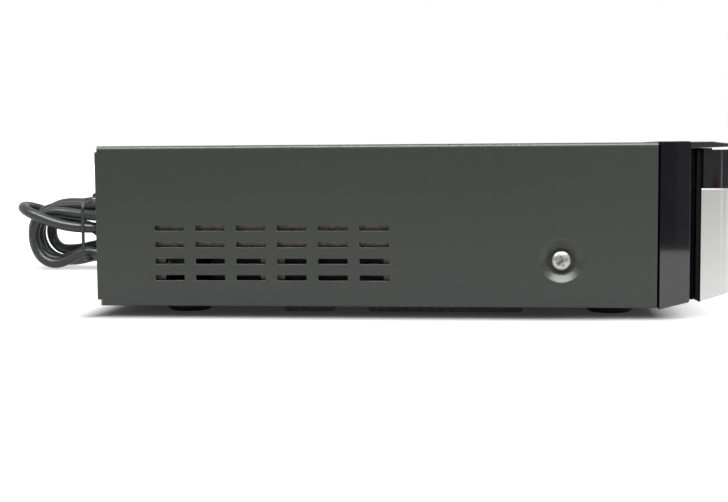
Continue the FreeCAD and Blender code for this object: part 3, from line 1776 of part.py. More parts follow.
# Rear sockets
def tuner_module():
    x = (tuner_left, tuner_right)
    z = (pan_top, aerial_z + aerial_base_radius + tuner_edge)
    low_y = tuner_front_y
    body = block(x, (low_y, panel_in_y), z)
    notches = [
        block((x[0] - 1, x[0] + 0.6), (low_y - 1, low_y + 8), z),
        block((x[1] - 0.6, x[1] + 1), (low_y - 1, low_y + 8), z),
    ]
    return cut(body, notches)


def aerial_sockets():
    sockets = []
    for index in range(aerial_count):
        x = aerial_first + index * aerial_spacing
        base = rod(aerial_base_radius, (x, panel_in_y, aerial_z), (0, 1, 0), sheet + 1.2)
        barrel = rod(
            aerial_radius, (x, panel_in_y, aerial_z), (0, 1, 0), rear_y + socket_reach - panel_in_y,
        )
        mouth = rod(aerial_radius - 1.2, (x, rear_y + socket_reach - 0.6, aerial_z), (0, 1, 0), 1)
        pin_hole = rod(0.6, (x, rear_y + socket_reach - 5, aerial_z), (0, 1, 0), 6)
        sockets.append(cut(base.fuse(barrel), [mouth, pin_hole]))
    return sockets


def av_jacks():
    x = (jack_left, jack_left + jack_count * jack_spacing)
    body = block(x, (panel_in_y - socket_depth, panel_in_y), (board_top, jack_z + jack_top))
    barrels = []
    bores = []
    for index in range(jack_count):
        x = jack_first + index * jack_spacing
        barrels.append(
            rod(jack_base_radius, (x, panel_in_y - 1, jack_z), (0, 1, 0), sheet + jack_base_reach + 1)
        )
        barrels.append(rod(jack_radius, (x, panel_in_y, jack_z), (0, 1, 0), sheet + jack_reach))
        bores.append(rod(jack_bore_radius, (x, panel_out_y, jack_z), (0, 1, 0), jack_reach + 1))
    return cut(body.fuse(barrels), bores)


def hdmi_socket():
    y = (panel_out_y + 0.2, panel_in_y - socket_depth)
    return socket_shell(hdmi_x, board_top + hdmi_height / 2, hdmi_width, hdmi_height, y, shell_wall, True)


def lan_socket():
    y = (panel_out_y + 0.2, panel_in_y - socket_depth)
    shell = socket_shell(lan_x, board_top + lan_height / 2, lan_width, lan_height, y, 2.0, False)
    latch = block(
        around(lan_x, 4), (panel_in_y - 6, panel_out_y + 1),
        (board_top + lan_height - 3, board_top + lan_height - 1),
    )
    return cut(shell, latch)


def eight_shape(x, z, grow, start_y, length):
    # The figure-eight section of the mains connector
    lobes = [rod(4.0 + grow, (x + side * 3.3, start_y, z), (0, 1, 0), length) for side in (-1, 1)]
    web = block((x - 3.3, x + 3.3), (start_y, start_y + length), around(z, 2 * (4.0 + grow)))
    return fused(lobes + [web])


def ac_inlet():
    body = block(
        around(inlet_x, inlet_width), (panel_in_y - inlet_depth, panel_out_y + 1),
        around(inlet_z, inlet_height),
    )
    socket = eight_shape(inlet_x, inlet_z, 0.4, panel_out_y + 1 - plug_insert - 0.4, plug_insert + 2)
    return cut(body, socket)


# The mains cord and what is on it
def connector_end_y():
    return panel_out_y + 1 + seat_gap + plug_grip + plug_relief


def cord_connector():
    start = panel_out_y + 1 - plug_insert
    nose = eight_shape(inlet_x, inlet_z, 0, start, plug_insert + seat_gap + 1)
    grip_y = panel_out_y + 1 + seat_gap
    grip = rounded_block(around(inlet_x, 17), (grip_y, grip_y + plug_grip), around(inlet_z, 11), 2)
    relief = cone(
        cord_radius + 1.9, cord_radius + 0.5, (inlet_x, grip_y + plug_grip, inlet_z), (0, 1, 0),
        plug_relief,
    )
    return fused([nose, grip, relief])


def hank_layer_x(layer):
    return hank_x - layer * cord_pitch


def hank_centre_z():
    return cord_floor_gap + cord_radius + hank_inner + cord_pitch


def hank_offsets():
    # How far each run lies from the hank's middle line, bottom and top in turn
    steps = (0, 0.5, 1, 1.5, 1, 0.5, 0, 0.5, 1, 1.5, 1, 0.5)
    return [hank_inner + step * cord_pitch for step in steps]


def hank_run_ends(index):
    # The place and height of a run's two ends; five of the runs climb to the next layer
    layer = (-1, 0, 0, 0, 1, 1, 1, 2, 2, 2, 3, 3)[index]
    climb = 1 if index in (0, 3, 6, 9, 11) else 0
    side = -1 if index % 2 == 0 else 1
    z = hank_centre_z() + side * hank_offsets()[index]
    return (hank_layer_x(layer), z), (hank_layer_x(layer + climb), z), side


def hank_start_y():
    # Where the first run starts and the last one ends, one diameter before the curve
    return rear_y + hank_near + hank_straight - cord_diameter


def biarc(start, end, along):
    # An S of two equal tangent arcs between two parallel directions
    middle = (start + end) * 0.5
    edges = []
    for first, last, flip in ((start, middle, 1), (end, middle, -1)):
        chord = last - first
        aim = along * flip
        side = chord - aim * chord.dot(aim)
        rise = side.Length
        side.normalize()
        run = chord.dot(aim)
        radius = (run * run + rise * rise) / (2 * rise)
        centre = first + side * radius
        halfway = (first - centre) + (last - centre)
        point = centre + halfway.normalize() * radius
        arc = Part.Arc(first, point, last) if flip > 0 else Part.Arc(last, point, first)
        edges.append(arc.toShape())
    return edges


def hank_path():
    near = rear_y + hank_near
    far = rear_y + hank_far
    waist = near + hank_waist_share * (far - near)
    edges = []
    count = len(hank_offsets())
    for index in range(count):
        (x0, z0), (x1, z1), side = hank_run_ends(index)
        ahead = index % 2 == 0
        start = Vector(x0, near if ahead else far, z0)
        drawn = Vector((x0 + x1) / 2, waist, z0 - side * hank_waist)
        end = Vector(x1, far if ahead else near, z1)
        along = Vector(0, 1 if ahead else -1, 0)
        straight = along * hank_straight
        if ahead:
            first = Vector(x0, hank_start_y(), z0) if index == 0 else start
            edges.append(Part.LineSegment(first, start + straight).toShape())
            edges += biarc(start + straight, drawn, along) + biarc(drawn, end, along)
        else:
            last = Vector(x1, hank_start_y(), z1) if index == count - 1 else end
            edges += biarc(start, drawn, along) + biarc(drawn, end - straight, along)
            edges.append(Part.LineSegment(end - straight, last).toShape())
        if index < count - 1:
            following = hank_run_ends(index + 1)[0]
            turn_end = Vector(following[0], end.y, following[1])
            centre = (end + turn_end) * 0.5
            radius = (turn_end - end).Length / 2
            edges.append(Part.Arc(end, centre + along * radius, turn_end).toShape())
    return edges


def report_gap(edges):
    # The least distance between strands that aren't neighbours along the path
    points = []
    travelled = 0.0
    for edge in edges:
        steps = max(2, int(edge.Length / 2))
        for point in edge.discretize(Number=steps)[:-1]:
            if points:
                travelled += (point - points[-1][1]).Length
            points.append((travelled, point))
    least = min(
        (a - b).Length
        for index, (at, a) in enumerate(points)
        for bt, b in points[index + 1:]
        if bt - at > 4 * cord_diameter)
    print("hank gap to itself", round(least - cord_diameter, 2), "mm")


def swept(edges, radius):
    path = Part.Wire(edges)
    start = edges[0].Vertexes[0].Point if edges[0].Orientation == "Forward" else edges[0].Vertexes[-1].Point
    tangent = edges[0].tangentAt(edges[0].FirstParameter)
    ring = Part.Wire(Part.makeCircle(radius, start, tangent))
    solid = path.makePipeShell([ring], True, False)
    expected = math.pi * radius ** 2 * path.Length
    print("tube length", round(path.Length, 1), "volume ratio", round(solid.Volume / expected, 4))
    return solid


def cord_hank():
    edges = hank_path()
    report_gap(edges)
    return swept(edges, cord_radius)


def corded(points):
    # Straight runs joined by tangent arcs, each as large as its two runs allow
    route = [Vector(*point) for point in points]
    edges = []
    at = route[0]
    for index in range(1, len(route) - 1):
        corner = route[index]
        back = route[index - 1] - corner
        ahead = route[index + 1] - corner
        shorter = min(back.Length, ahead.Length)
        turn = math.pi - back.getAngle(ahead)
        reach = 0.45 * shorter
        radius = reach / math.tan(turn / 2)
        print("cord bend radius", round(radius, 1), "turn", round(math.degrees(turn)))
        back.normalize()
        ahead.normalize()
        start, end = corner + back * reach, corner + ahead * reach
        inward = (back + ahead).normalize()
        middle = corner + inward * (radius / math.cos(turn / 2) - radius)
        edges.append(Part.LineSegment(at, start).toShape())
        edges.append(Part.Arc(start, middle, end).toShape())
        at = end
    edges.append(Part.LineSegment(at, route[-1]).toShape())
    return swept(edges, cord_radius)


def mains_cord():
    low = cord_radius + cord_floor_gap
    start_z = hank_centre_z() - hank_offsets()[0]
    end_y = hank_start_y()
    points = [
        (inlet_x, connector_end_y(), inlet_z),
        (inlet_x, rear_y + 64, inlet_z),
        (inlet_x - 5, rear_y + 84, 12.0),
        (inlet_x - 19, rear_y + 99, low + 1.5),
        (inlet_x - 40, rear_y + 103, low),
        (inlet_x - 60, rear_y + 96, low),
        (inlet_x - 75, rear_y + 80, low),
        (inlet_x - 93, rear_y + 54, low),
        (inlet_x - 111, rear_y + 27, low),
        (hank_x + 42.5, rear_y + 9.5, low + 0.4),
        (hank_x + 21, rear_y + 8, low + 2.0),
        (hank_layer_x(-1), rear_y + 23, start_z),
        (hank_layer_x(-1), end_y, start_z),
    ]
    return corded(points)


def cord_tail_points():
    # Down from the hank's last run to the plug's relief, which lies beside it
    x = hank_layer_x(4)
    start_z = hank_centre_z() + hank_offsets()[-1]
    return [
        (x, hank_start_y(), start_z),
        (x, rear_y + 24.5, start_z),
        (x - 10.6, rear_y + 13, 22.0),
        (x - 27.6, rear_y + 11, 12.5),
        (x - 43.6, plug_y, plug_axis_z),
        (x - 53.6, plug_y, plug_axis_z),
    ]


def cord_tail():
    return corded(cord_tail_points())


def plug_start():
    return (cord_tail_points()[-1][0], plug_y, plug_axis_z)


def mains_plug():
    # A tapered grip on the cord's end with two flat blades
    x, y, z = plug_start()
    relief = cone(cord_radius + 0.5, cord_radius + 2, (x, y, z), (-1, 0, 0), plug_relief_length)
    neck_x = x - plug_relief_length
    end_x = neck_x - plug_length
    low = z - plug_height / 2
    neck = plug_neck_width / 2
    wide = plug_width / 2
    outline = [
        (neck_x, y - neck, low),
        (neck_x, y + neck, low),
        (end_x, y + wide, low),
        (end_x, y - wide, low),
    ]
    body = rounded_prism(outline, [3, 3, 2, 2], (0, 0, plug_height))
    blades = []
    for side in (-1, 1):
        blade_y = around(y + side * blade_spacing / 2, blade_thickness)
        blades.append(block((end_x - blade_length, end_x + 1), blade_y, around(z, blade_width)))
    return fused([relief, body] + blades)


def cord_tie():
    near = rear_y + hank_near
    far = rear_y + hank_far
    waist = near + hank_waist_share * (far - near)
    offsets = hank_offsets()
    z = hank_centre_z()
    room = cord_radius + 0.2 - hank_waist
    low = z - max(offsets[0::2]) - room
    high = z + max(offsets[1::2]) + room
    side = cord_radius + 0.2
    x = (hank_layer_x(3.5) - side, hank_layer_x(-0.5) + side)
    return tie_ring(x, (low, high), waist)


def tie_ring(x, z, y):
    start = y - tie_width / 2

    def ring(grow):
        corners = [
            (x[0] - grow, start, z[0] - grow),
            (x[1] + grow, start, z[0] - grow),
            (x[1] + grow, start, z[1] + grow),
            (x[0] - grow, start, z[1] + grow),
        ]
        return rounded_prism(corners, [0.6 + grow] * 4, (0, tie_width, 0))

    return cut(ring(tie_thickness), ring(0))


def key(index):
    return panel_key(key_places()[index])


pieces = {
    "top_cover": top_cover,
    "cover_side_screws": cover_side_screws,
    "rear_screws": rear_screws,
    "chassis_base": chassis_base,
    "feet": feet,
    "rear_panel": rear_panel,
    "front_bezel": front_bezel,
    "top_lip": top_lip,
    "fascia_frame": fascia_frame,
    "fascia_shell": fascia_shell,
    "smoked_window": smoked_window,
    "display_module": display_module,
    "power_switch_board": power_switch_board,
    "control_board": lambda: fused([control_board()] + front_socket_shells()),
    "power_button": lambda: round_button(power_x),
    "eject_button": lambda: round_button(eject_x),
    "control_flap": control_flap,
    "control_panel": control_panel,
    "stop_button": lambda: key(0),
    "play_button": lambda: key(1),
    "record_button": lambda: key(2),
    "channel_button": lambda: key(3),
    "drive_bracket": drive_bracket,
    "drive_chassis": drive_chassis,
    "drive_cover": drive_cover,
    "disc_tray": disc_tray,
    "tray_lid": tray_lid,
    "loading_gear": loading_gear,
    "pulley_gear": pulley_gear,
    "motor_pulley": motor_pulley,
    "loading_motor": loading_motor,
    "drive_belt": drive_belt,
    "traverse_frame": traverse_frame,
    "guide_rods": guide_rods,
    "pickup_sled": lambda: group([pickup_sled(), pickup_lens()]),
    "lead_screw": lead_screw,
    "sled_motor": sled_motor,
    "spindle_motor": spindle_motor,
    "turntable": turntable,
    "clamper": clamper,
    "hard_disk_base": disk_base,
    "hard_disk_cover": disk_cover,
    "hard_disk_platters": platters,
    "hard_disk_actuator": actuator,
    "main_board": lambda: fused([main_board(), main_heatsink()]),
    "power_board": lambda: fused([power_board(), power_transformer(), power_capacitor(), power_heatsink()]),
    "board_screws": board_screws,
    "fan_frame": fan_frame,
    "fan_rotor": fan_rotor,
    "tuner": lambda: fused([tuner_module()] + aerial_sockets()),
    "av_jacks": av_jacks,
    "hdmi_socket": hdmi_socket,
    "lan_socket": lan_socket,
    "ac_inlet": ac_inlet,
    "cord_connector": cord_connector,
    "mains_cord": mains_cord,
    "cord_hank": cord_hank,
    "cord_tail": cord_tail,
    "cord_tie": cord_tie,
    "mains_plug": mains_plug,
}

os.makedirs("parts", exist_ok=True)
for name, make in pieces.items():
    make().exportStep("parts/" + name + ".step")
print("pieces", len(pieces))
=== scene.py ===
import math

import bmesh
import bpy
from mathutils import Matrix, Vector


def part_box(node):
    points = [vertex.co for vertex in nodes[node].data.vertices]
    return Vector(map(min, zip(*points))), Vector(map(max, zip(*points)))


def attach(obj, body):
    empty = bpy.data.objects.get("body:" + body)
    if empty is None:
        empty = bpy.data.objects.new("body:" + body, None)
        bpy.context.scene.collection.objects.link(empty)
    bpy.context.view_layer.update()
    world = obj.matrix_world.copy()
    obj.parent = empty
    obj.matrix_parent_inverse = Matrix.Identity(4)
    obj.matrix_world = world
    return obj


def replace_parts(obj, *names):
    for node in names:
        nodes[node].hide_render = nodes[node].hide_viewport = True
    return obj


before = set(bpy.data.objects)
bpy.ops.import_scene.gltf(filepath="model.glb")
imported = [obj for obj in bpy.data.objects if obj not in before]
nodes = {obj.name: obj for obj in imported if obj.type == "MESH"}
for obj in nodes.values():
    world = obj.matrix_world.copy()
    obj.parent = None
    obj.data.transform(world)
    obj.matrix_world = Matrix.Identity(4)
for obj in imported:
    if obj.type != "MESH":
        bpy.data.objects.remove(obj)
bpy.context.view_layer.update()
print("recorder loaded")


# Node graphs, for materials and for geometry
class Value:
    # A socket that takes part in sums and comparisons as a number does
    def __init__(self, graph, socket):
        self.graph = graph
        self.socket = socket

    def math(self, operation, *terms):
        values = dict(enumerate(terms))
        return self.graph.node("ShaderNodeMath", {"operation": operation}, values)["Value"]

    def __add__(self, other):
        return self.math("ADD", self, other)

    def __sub__(self, other):
        return self.math("SUBTRACT", self, other)

    def __rsub__(self, other):
        return self.math("SUBTRACT", other, self)

    def __mul__(self, other):
        return self.math("MULTIPLY", self, other)

    def __truediv__(self, other):
        return self.math("DIVIDE", self, other)

    def __rtruediv__(self, other):
        return self.math("DIVIDE", other, self)

    def __pow__(self, other):
        return self.math("POWER", self, other)

    def __gt__(self, other):
        return self.math("GREATER_THAN", self, other)

    def __lt__(self, other):
        return self.math("LESS_THAN", self, other)

    def wave(self, step):
        # A triangle wave between 0 and 1 that repeats every step
        return self.math("PINGPONG", self, step / 2) / (step / 2)

    def atMost(self, other):
        return self.math("MINIMUM", self, other)

    def atLeast(self, other):
        return self.math("MAXIMUM", self, other)

    __radd__ = __add__
    __rmul__ = __mul__


class Graph:
    def __init__(self, tree):
        self.tree = tree

    def node(self, kind, settings=None, values=None):
        made = self.tree.nodes.new(kind)
        for key, setting in (settings or {}).items():
            setattr(made, key, setting)
        for key, value in (values or {}).items():
            if isinstance(value, Value):
                self.tree.links.new(value.socket, made.inputs[key])
            else:
                made.inputs[key].default_value = value
        return {output.name: Value(self, output) for output in made.outputs if output.enabled}


class Finish(Graph):
    # A material whose pattern is worked out from the place on the object, in metres
    def __init__(self, name):
        self.material = bpy.data.materials.new(name)
        self.material.use_nodes = True
        super().__init__(self.material.node_tree)
        self.shader = self.tree.nodes["Principled BSDF"]
        self.place = self.node("ShaderNodeTexCoord")["Object"]
        self.axes = self.node("ShaderNodeSeparateXYZ", values={"Vector": self.place})

    def set(self, **values):
        # Keys are the shader's sockets without their spaces
        for socket in self.shader.inputs:
            value = values.pop(socket.name.replace(" ", ""), None)
            if isinstance(value, Value):
                self.tree.links.new(value.socket, socket)
            elif value is not None:
                socket.default_value = value
        assert not values, values
        return self

    def noise(self, cells, detail=2.0, stretch=None):
        # Cells is the number of grains to a metre
        place = self.place
        if stretch:
            place = self.node("ShaderNodeMapping", values={"Vector": place, "Scale": stretch})["Vector"]
        values = {"Vector": place, "Scale": cells, "Detail": detail}
        return self.node("ShaderNodeTexNoise", values=values)["Fac"]

    def crystals(self, scale):
        # One level between 0 and 1 for each cell
        cells = self.node("ShaderNodeTexVoronoi", values={"Vector": self.place, "Scale": scale})
        return self.node("ShaderNodeSeparateColor", values={"Color": cells["Color"]})["Red"]

    def mix(self, share, first, second):
        # Index 0 is the factor, 6 and 7 are the colours
        colours = [c if isinstance(c, Value) else (*c, 1) for c in (first, second)]
        values = {0: share, 6: colours[0], 7: colours[1]}
        return self.node("ShaderNodeMix", {"data_type": "RGBA"}, values)["Result"]

    def bump(self, height, depth, strength=1.0, edge=0):
        # Edge is the radius in metres that the corners seem rounded to
        values = {"Height": height, "Distance": depth, "Strength": strength}
        if edge:
            values["Normal"] = self.node("ShaderNodeBevel", {"samples": 6}, {"Radius": edge})["Normal"]
        return self.node("ShaderNodeBump", values=values)["Normal"]

    def between(self, axis, low, high):
        return (self.axes[axis] > low) * (self.axes[axis] < high)

    def inside(self, x=None, y=None, z=None):
        # A mask of one block of space, its spans in millimetres
        mask = None
        for axis, span in zip("XYZ", (x, y, z)):
            if span:
                part = self.between(axis, span[0] / 1000, span[1] / 1000)
                mask = part if mask is None else mask * part
        return mask

    def around(self, centre, radius, flat="XY"):
        # A mask of an upright or lying cylinder, in millimetres
        first, second = (self.axes[axis] - at / 1000 for axis, at in zip(flat, centre))
        return (first * first + second * second) < (radius / 1000) ** 2


paint = {
    "dark": (0.028, 0.034, 0.029),
    "light": (0.040, 0.047, 0.041),
    "grain": 1500,
    "grainDepth": 0.00006,
    "roughness": 0.36,
    "edge": 0.0004,
    "dimple": (-60.7, 21.0),
    # The seat radius bounds the painted shade round the side screws, in millimetres
    "seat": 4.7,
}


def grainedPaint():
    # Fine-grained paint, with a painted shade round the side screws' seats
    finish = Finish("grainedPaint")
    grain = finish.noise(paint["grain"], 3)
    cloud = finish.noise(9, 2)
    colour = finish.mix(grain * 0.7 + cloud * 0.3, paint["dark"], paint["light"])
    # Painted shade: within the seat radius round each side screw's dimple centre the paint is made near
    # black and rougher, for the shadow in the pressed seat
    seat = finish.around(paint["dimple"], paint["seat"], "YZ")
    return finish.set(
        BaseColor=finish.mix(seat, colour, (0.008, 0.009, 0.008)),
        Roughness=grain * 0.14 + (paint["roughness"] - 0.07) + seat * 0.3,
        Normal=finish.bump(grain, paint["grainDepth"], 0.7, paint["edge"]),
    )


def sheetSteel(name, dark, light, roughness):
    # Rolled and zinc plated: long faint streaks under small crystals
    finish = Finish(name)
    streaks = finish.noise(60, 3, (1, 14, 14))
    share = (streaks * 0.6 + finish.crystals(260) * 0.4).atMost(1)
    return finish.set(
        BaseColor=finish.mix(share, dark, light),
        Metallic=1.0,
        Roughness=share * 0.14 + roughness,
        Normal=finish.bump(streaks, 0.00002, 0.4),
    )


chassis = {
    "inside": ((0.085, 0.070, 0.058), (0.270, 0.235, 0.200)),
    "below": ((0.115, 0.125, 0.115), (0.215, 0.230, 0.215)),
    "floorTop": 0.0052,
}


def chassisSteel():
    # Dull galvanised sheet, brownish inside the case and greyer on its underside
    finish = Finish("chassisSteel")
    streaks = finish.noise(90, 3, (1, 10, 10))
    share = (finish.crystals(620) * 0.65 + streaks * 0.35).atMost(1)
    inside = finish.mix(share, *chassis["inside"])
    below = finish.mix(share, *chassis["below"])
    return finish.set(
        BaseColor=finish.mix(finish.axes["Z"] > chassis["floorTop"], below, inside),
        Metallic=0.85,
        Roughness=share * 0.16 + 0.42,
        Normal=finish.bump(streaks, 0.00002, 0.4),
    )


# The polish lies between two y planes, the tongue's and the step's
gloss = {
    "dark": (0.006, 0.006, 0.0075),
    "light": (0.010, 0.010, 0.012),
    "roughness": 0.035,
    "edge": 0.0005,
    "tongue": -0.0959,
    "step": -0.1066,
}


def glossBlack():
    # Polished black moulding; its tongue and recessed step are left matt and painted near black with no
    # sheen, a painted shade for the seam gap and the recess
    finish = Finish("glossBlack")
    haze = finish.noise(35, 4)
    ripple = finish.noise(14, 1)
    # Painted shade: behind the tongue's plane and in front of the step's, the moulding is painted near
    # black, set metallic and made rough, so it keeps no sheen
    matt = ((finish.axes["Y"] > gloss["tongue"]) + (finish.axes["Y"] < gloss["step"])).atMost(1)
    polished = finish.mix(haze, gloss["dark"], gloss["light"])
    return finish.set(
        BaseColor=finish.mix(matt, polished, (0.003, 0.003, 0.0035)),
        Metallic=matt,
        Roughness=haze * 0.05 + gloss["roughness"] + matt * 0.6,
        CoatWeight=(1 - matt) * 0.6,
        CoatRoughness=0.03,
        IOR=1.5,
        Normal=finish.bump(ripple, 0.00004, 0.15, gloss["edge"]),
    )


def lipGloss():
    # The top lip is a shade lighter and less polished than the rest of the front
    finish = Finish("lipGloss")
    haze = finish.noise(40, 3)
    return finish.set(
        BaseColor=finish.mix(haze, (0.022, 0.025, 0.022), (0.032, 0.035, 0.031)),
        Roughness=haze * 0.08 + 0.22,
        Normal=finish.bump(finish.noise(900, 2), 0.00001, 0.3, 0.0006),
    )


def mouldedPlastic(name, dark, light, roughness, cells=2200, depth=0.00003, shine=0.5):
    finish = Finish(name)
    finish.set(SpecularIORLevel=shine)
    grain = finish.noise(cells, 2)
    cloud = finish.noise(40, 3)
    return finish.set(
        BaseColor=finish.mix(grain * 0.5 + cloud * 0.5, dark, light),
        Roughness=cloud * 0.1 + (roughness - 0.05),
        Normal=finish.bump(grain, depth, 0.5),
    )


silver = {
    "dark": (0.55, 0.56, 0.54),
    "light": (0.67, 0.67, 0.65),
    "roughness": 0.30,
    "edge": 0.0005,
    "rearEdge": -0.1105,
}


def silverPaint():
    # Fine metal flakes in a satin lacquer, with a painted shade along the rear edge: a black strip for
    # the shadow in the gap behind it
    finish = Finish("silverPaint")
    flakes = finish.crystals(9000)
    cloud = finish.noise(18, 2)
    # Painted shade: behind the rear edge plane the lacquer is painted black, set fully metallic and
    # rough, with no coat, so it keeps no sheen
    rearEdge = finish.axes["Y"] > silver["rearEdge"]
    lacquer = finish.mix(flakes * 0.35 + cloud * 0.65, silver["dark"], silver["light"])
    return finish.set(
        BaseColor=finish.mix(rearEdge, lacquer, (0.006, 0.006, 0.006)),
        Metallic=rearEdge * 0.3 + 0.7,
        Roughness=flakes * 0.06 + silver["roughness"] + rearEdge * 0.3,
        CoatWeight=(1 - rearEdge) * 0.25,
        CoatRoughness=0.12,
        Normal=finish.bump(flakes, 0.000004, 0.2, silver["edge"]),
    )


smoked = {
    "dark": (0.034, 0.033, 0.034),
    "light": (0.046, 0.044, 0.045),
    "rearEdge": -0.1111,
    "edge": 0.0006,
    "sensor": ((-216, -196), (-116.2, -114.5), (46, 54.2)),
    "sensorTop": 0.0545,
    "sensorFade": 0.006,
    "sensorRed": (0.060, 0.007, 0.010),
}


def smokedPlastic():
    # Tinted strip with a painted shade along its rear edge, a black strip for the shadow in the gap
    # behind it; near its left end a deep red streak is full at the bottom and fades out upward
    finish = Finish("smokedPlastic")
    haze = finish.noise(30, 3)
    tint = finish.mix(haze, smoked["dark"], smoked["light"])
    # Painted shade: behind the rear edge plane the strip is painted black, set metallic and rough, so it
    # keeps no sheen
    rearEdge = finish.axes["Y"] > smoked["rearEdge"]
    # A deep red streak inside this block near the left end: full from its bottom to 48.5 mm high and
    # fading out above
    sensor = finish.inside(*smoked["sensor"])
    fade = ((smoked["sensorTop"] - finish.axes["Z"]) / smoked["sensorFade"]).atLeast(0).atMost(1)
    colour = finish.mix(sensor * fade, tint, smoked["sensorRed"])
    return finish.set(
        BaseColor=finish.mix(rearEdge, colour, (0.003, 0.003, 0.003)),
        Metallic=rearEdge,
        Roughness=haze * 0.04 + 0.04 + rearEdge * 0.5,
        TransmissionWeight=0.4,
        IOR=1.49,
        CoatWeight=(1 - rearEdge) * 0.3,
        CoatRoughness=0.02,
        Normal=finish.bump(finish.noise(18, 1), 0.00003, 0.1, smoked["edge"]),
    )


def vinyl():
    # Extruded vinyl, a little cloudy along its length
    finish = Finish("vinyl")
    fine = finish.noise(2600, 2)
    cloud = finish.noise(70, 3)
    return finish.set(
        BaseColor=finish.mix(cloud, (0.013, 0.015, 0.0145), (0.026, 0.029, 0.028)),
        Roughness=cloud * 0.14 + 0.30,
        Normal=finish.bump(fine, 0.00002, 0.35),
    )


def platedSteel():
    # Bright plated screws, with turning rings too fine to see but for their sheen
    finish = Finish("platedSteel")
    mottle = finish.noise(900, 3)
    return finish.set(
        BaseColor=finish.mix(mottle, (0.50, 0.49, 0.46), (0.78, 0.77, 0.74)),
        Metallic=1.0,
        Roughness=mottle * 0.2 + 0.16,
        Normal=finish.bump(mottle, 0.00003, 0.4),
    )


def screwHead():
    # Bright pan heads, darker where the driver has marked the cross
    finish = Finish("screwHead")
    mottle = finish.noise(1400, 4)
    marks = (finish.noise(420, 3) > 0.60) * 0.8
    bright = finish.mix(mottle, (0.34, 0.34, 0.32), (0.52, 0.52, 0.49))
    return finish.set(
        BaseColor=finish.mix(marks, bright, (0.10, 0.10, 0.095)),
        Metallic=1.0,
        Roughness=mottle * 0.2 + 0.28,
        Normal=finish.bump(mottle, 0.00004, 0.5),
    )


def mirror():
    finish = Finish("mirror")
    fine = finish.noise(300, 2)
    return finish.set(
        BaseColor=finish.mix(fine, (0.72, 0.73, 0.75), (0.82, 0.83, 0.84)),
        Metallic=1.0,
        Roughness=fine * 0.03 + 0.02,
    )


def castMetal():
    finish = Finish("castMetal")
    skin = finish.noise(1100, 4)
    cloud = finish.noise(50, 2)
    return finish.set(
        BaseColor=finish.mix(skin * 0.5 + cloud * 0.5, (0.40, 0.40, 0.41), (0.62, 0.62, 0.62)),
        Metallic=1.0,
        Roughness=skin * 0.2 + 0.36,
        Normal=finish.bump(skin, 0.00005, 0.6),
    )


def wiredBoard(name, parts):
    # Solder mask over copper tracks below, and the colours of what stands on the board above
    finish = Finish(name)
    values = {"Vector": finish.place, "Scale": (1, 1, 0)}
    flat = finish.node("ShaderNodeMapping", values=values)["Vector"]
    values = {"Vector": flat, "Scale": 190.0}
    tracks = finish.node("ShaderNodeTexVoronoi", {"distance": "CHEBYCHEV"}, values)
    near = tracks["Distance"]
    rings = ((near * 6).wave(1) > 0.72) * 0.8
    holes = near < 0.09
    cloud = finish.noise(40, 2)
    mask = finish.mix(cloud, (0.014, 0.075, 0.032), (0.020, 0.098, 0.042))
    colour = finish.mix(rings, mask, (0.035, 0.15, 0.06))
    colour = finish.mix(holes, colour, (0.62, 0.60, 0.55))
    shine = holes * 0.9
    grain = finish.noise(1500, 2)
    for region, tint, metal in parts(finish):
        colour = finish.mix(region, colour, finish.mix(grain, [c * 0.85 for c in tint], tint))
        shine = shine * (1 - region) + region * metal
    return finish.set(
        BaseColor=colour,
        Metallic=shine,
        Roughness=cloud * 0.1 + 0.36,
        Normal=finish.bump(rings + holes + grain * 0.3, 0.00003, 0.6),
    )


# Places on the boards are in millimetres
boardTop = 11.6
darkChip = (0.018, 0.018, 0.019)
bareMetal = (0.60, 0.60, 0.60)


def mainBoardParts(finish):
    above = finish.inside(z=(boardTop + 0.05, 60))
    sink = finish.inside((-41, -5), (-22, 14), (boardTop + 1.9, 60))
    plug = finish.inside((14, 38), (-56, -44), (boardTop + 0.05, 60))
    cans = finish.inside((-82, -24), (-54, -42), (boardTop + 6.8, 60))
    return [
        (above, darkChip, 0.0),
        (sink, bareMetal, 1.0),
        (plug, (0.70, 0.68, 0.60), 0.0),
        (cans, bareMetal, 1.0),
    ]


def powerBoardParts(finish):
    above = finish.inside(z=(boardTop + 0.05, 60))
    tape = finish.inside((126, 154), (0, 30), (boardTop + 6, 60))
    core = finish.inside((122, 158), (8, 22), (boardTop + 3, 60))
    sink = finish.inside((73, 91), (-14, 44), (boardTop + 0.05, 60))
    tops = finish.inside((70, 200), (-50, 40), (boardTop + 33.6, 60))
    film = finish.inside((136, 150), (50, 80), (boardTop + 0.05, 60))
    return [
        (above, (0.020, 0.022, 0.032), 0.0),
        (tape, (0.62, 0.50, 0.10), 0.0),
        (core, (0.05, 0.048, 0.045), 0.0),
        (sink, bareMetal, 1.0),
        (tops, bareMetal, 1.0),
        (film, (0.55, 0.40, 0.05), 0.0),
    ]


def frontSocketParts(finish):
    shells = finish.inside(y=(-116, -104.9), z=(15, 34))
    return [(shells, bareMetal, 1.0)]


def noParts(finish):
    return []


def displayParts(finish):
    glass = finish.inside((-41, 75), (-120, -104), (48.8, 57.2))
    return [(glass, (0.012, 0.016, 0.015), 0.0)]


jacks = {
    "z": 30,
    "core": 2.6,
    "signals": ((-78, (0.70, 0.45, 0.02)), (-63, (0.75, 0.75, 0.72)), (-48, (0.50, 0.02, 0.02))),
}


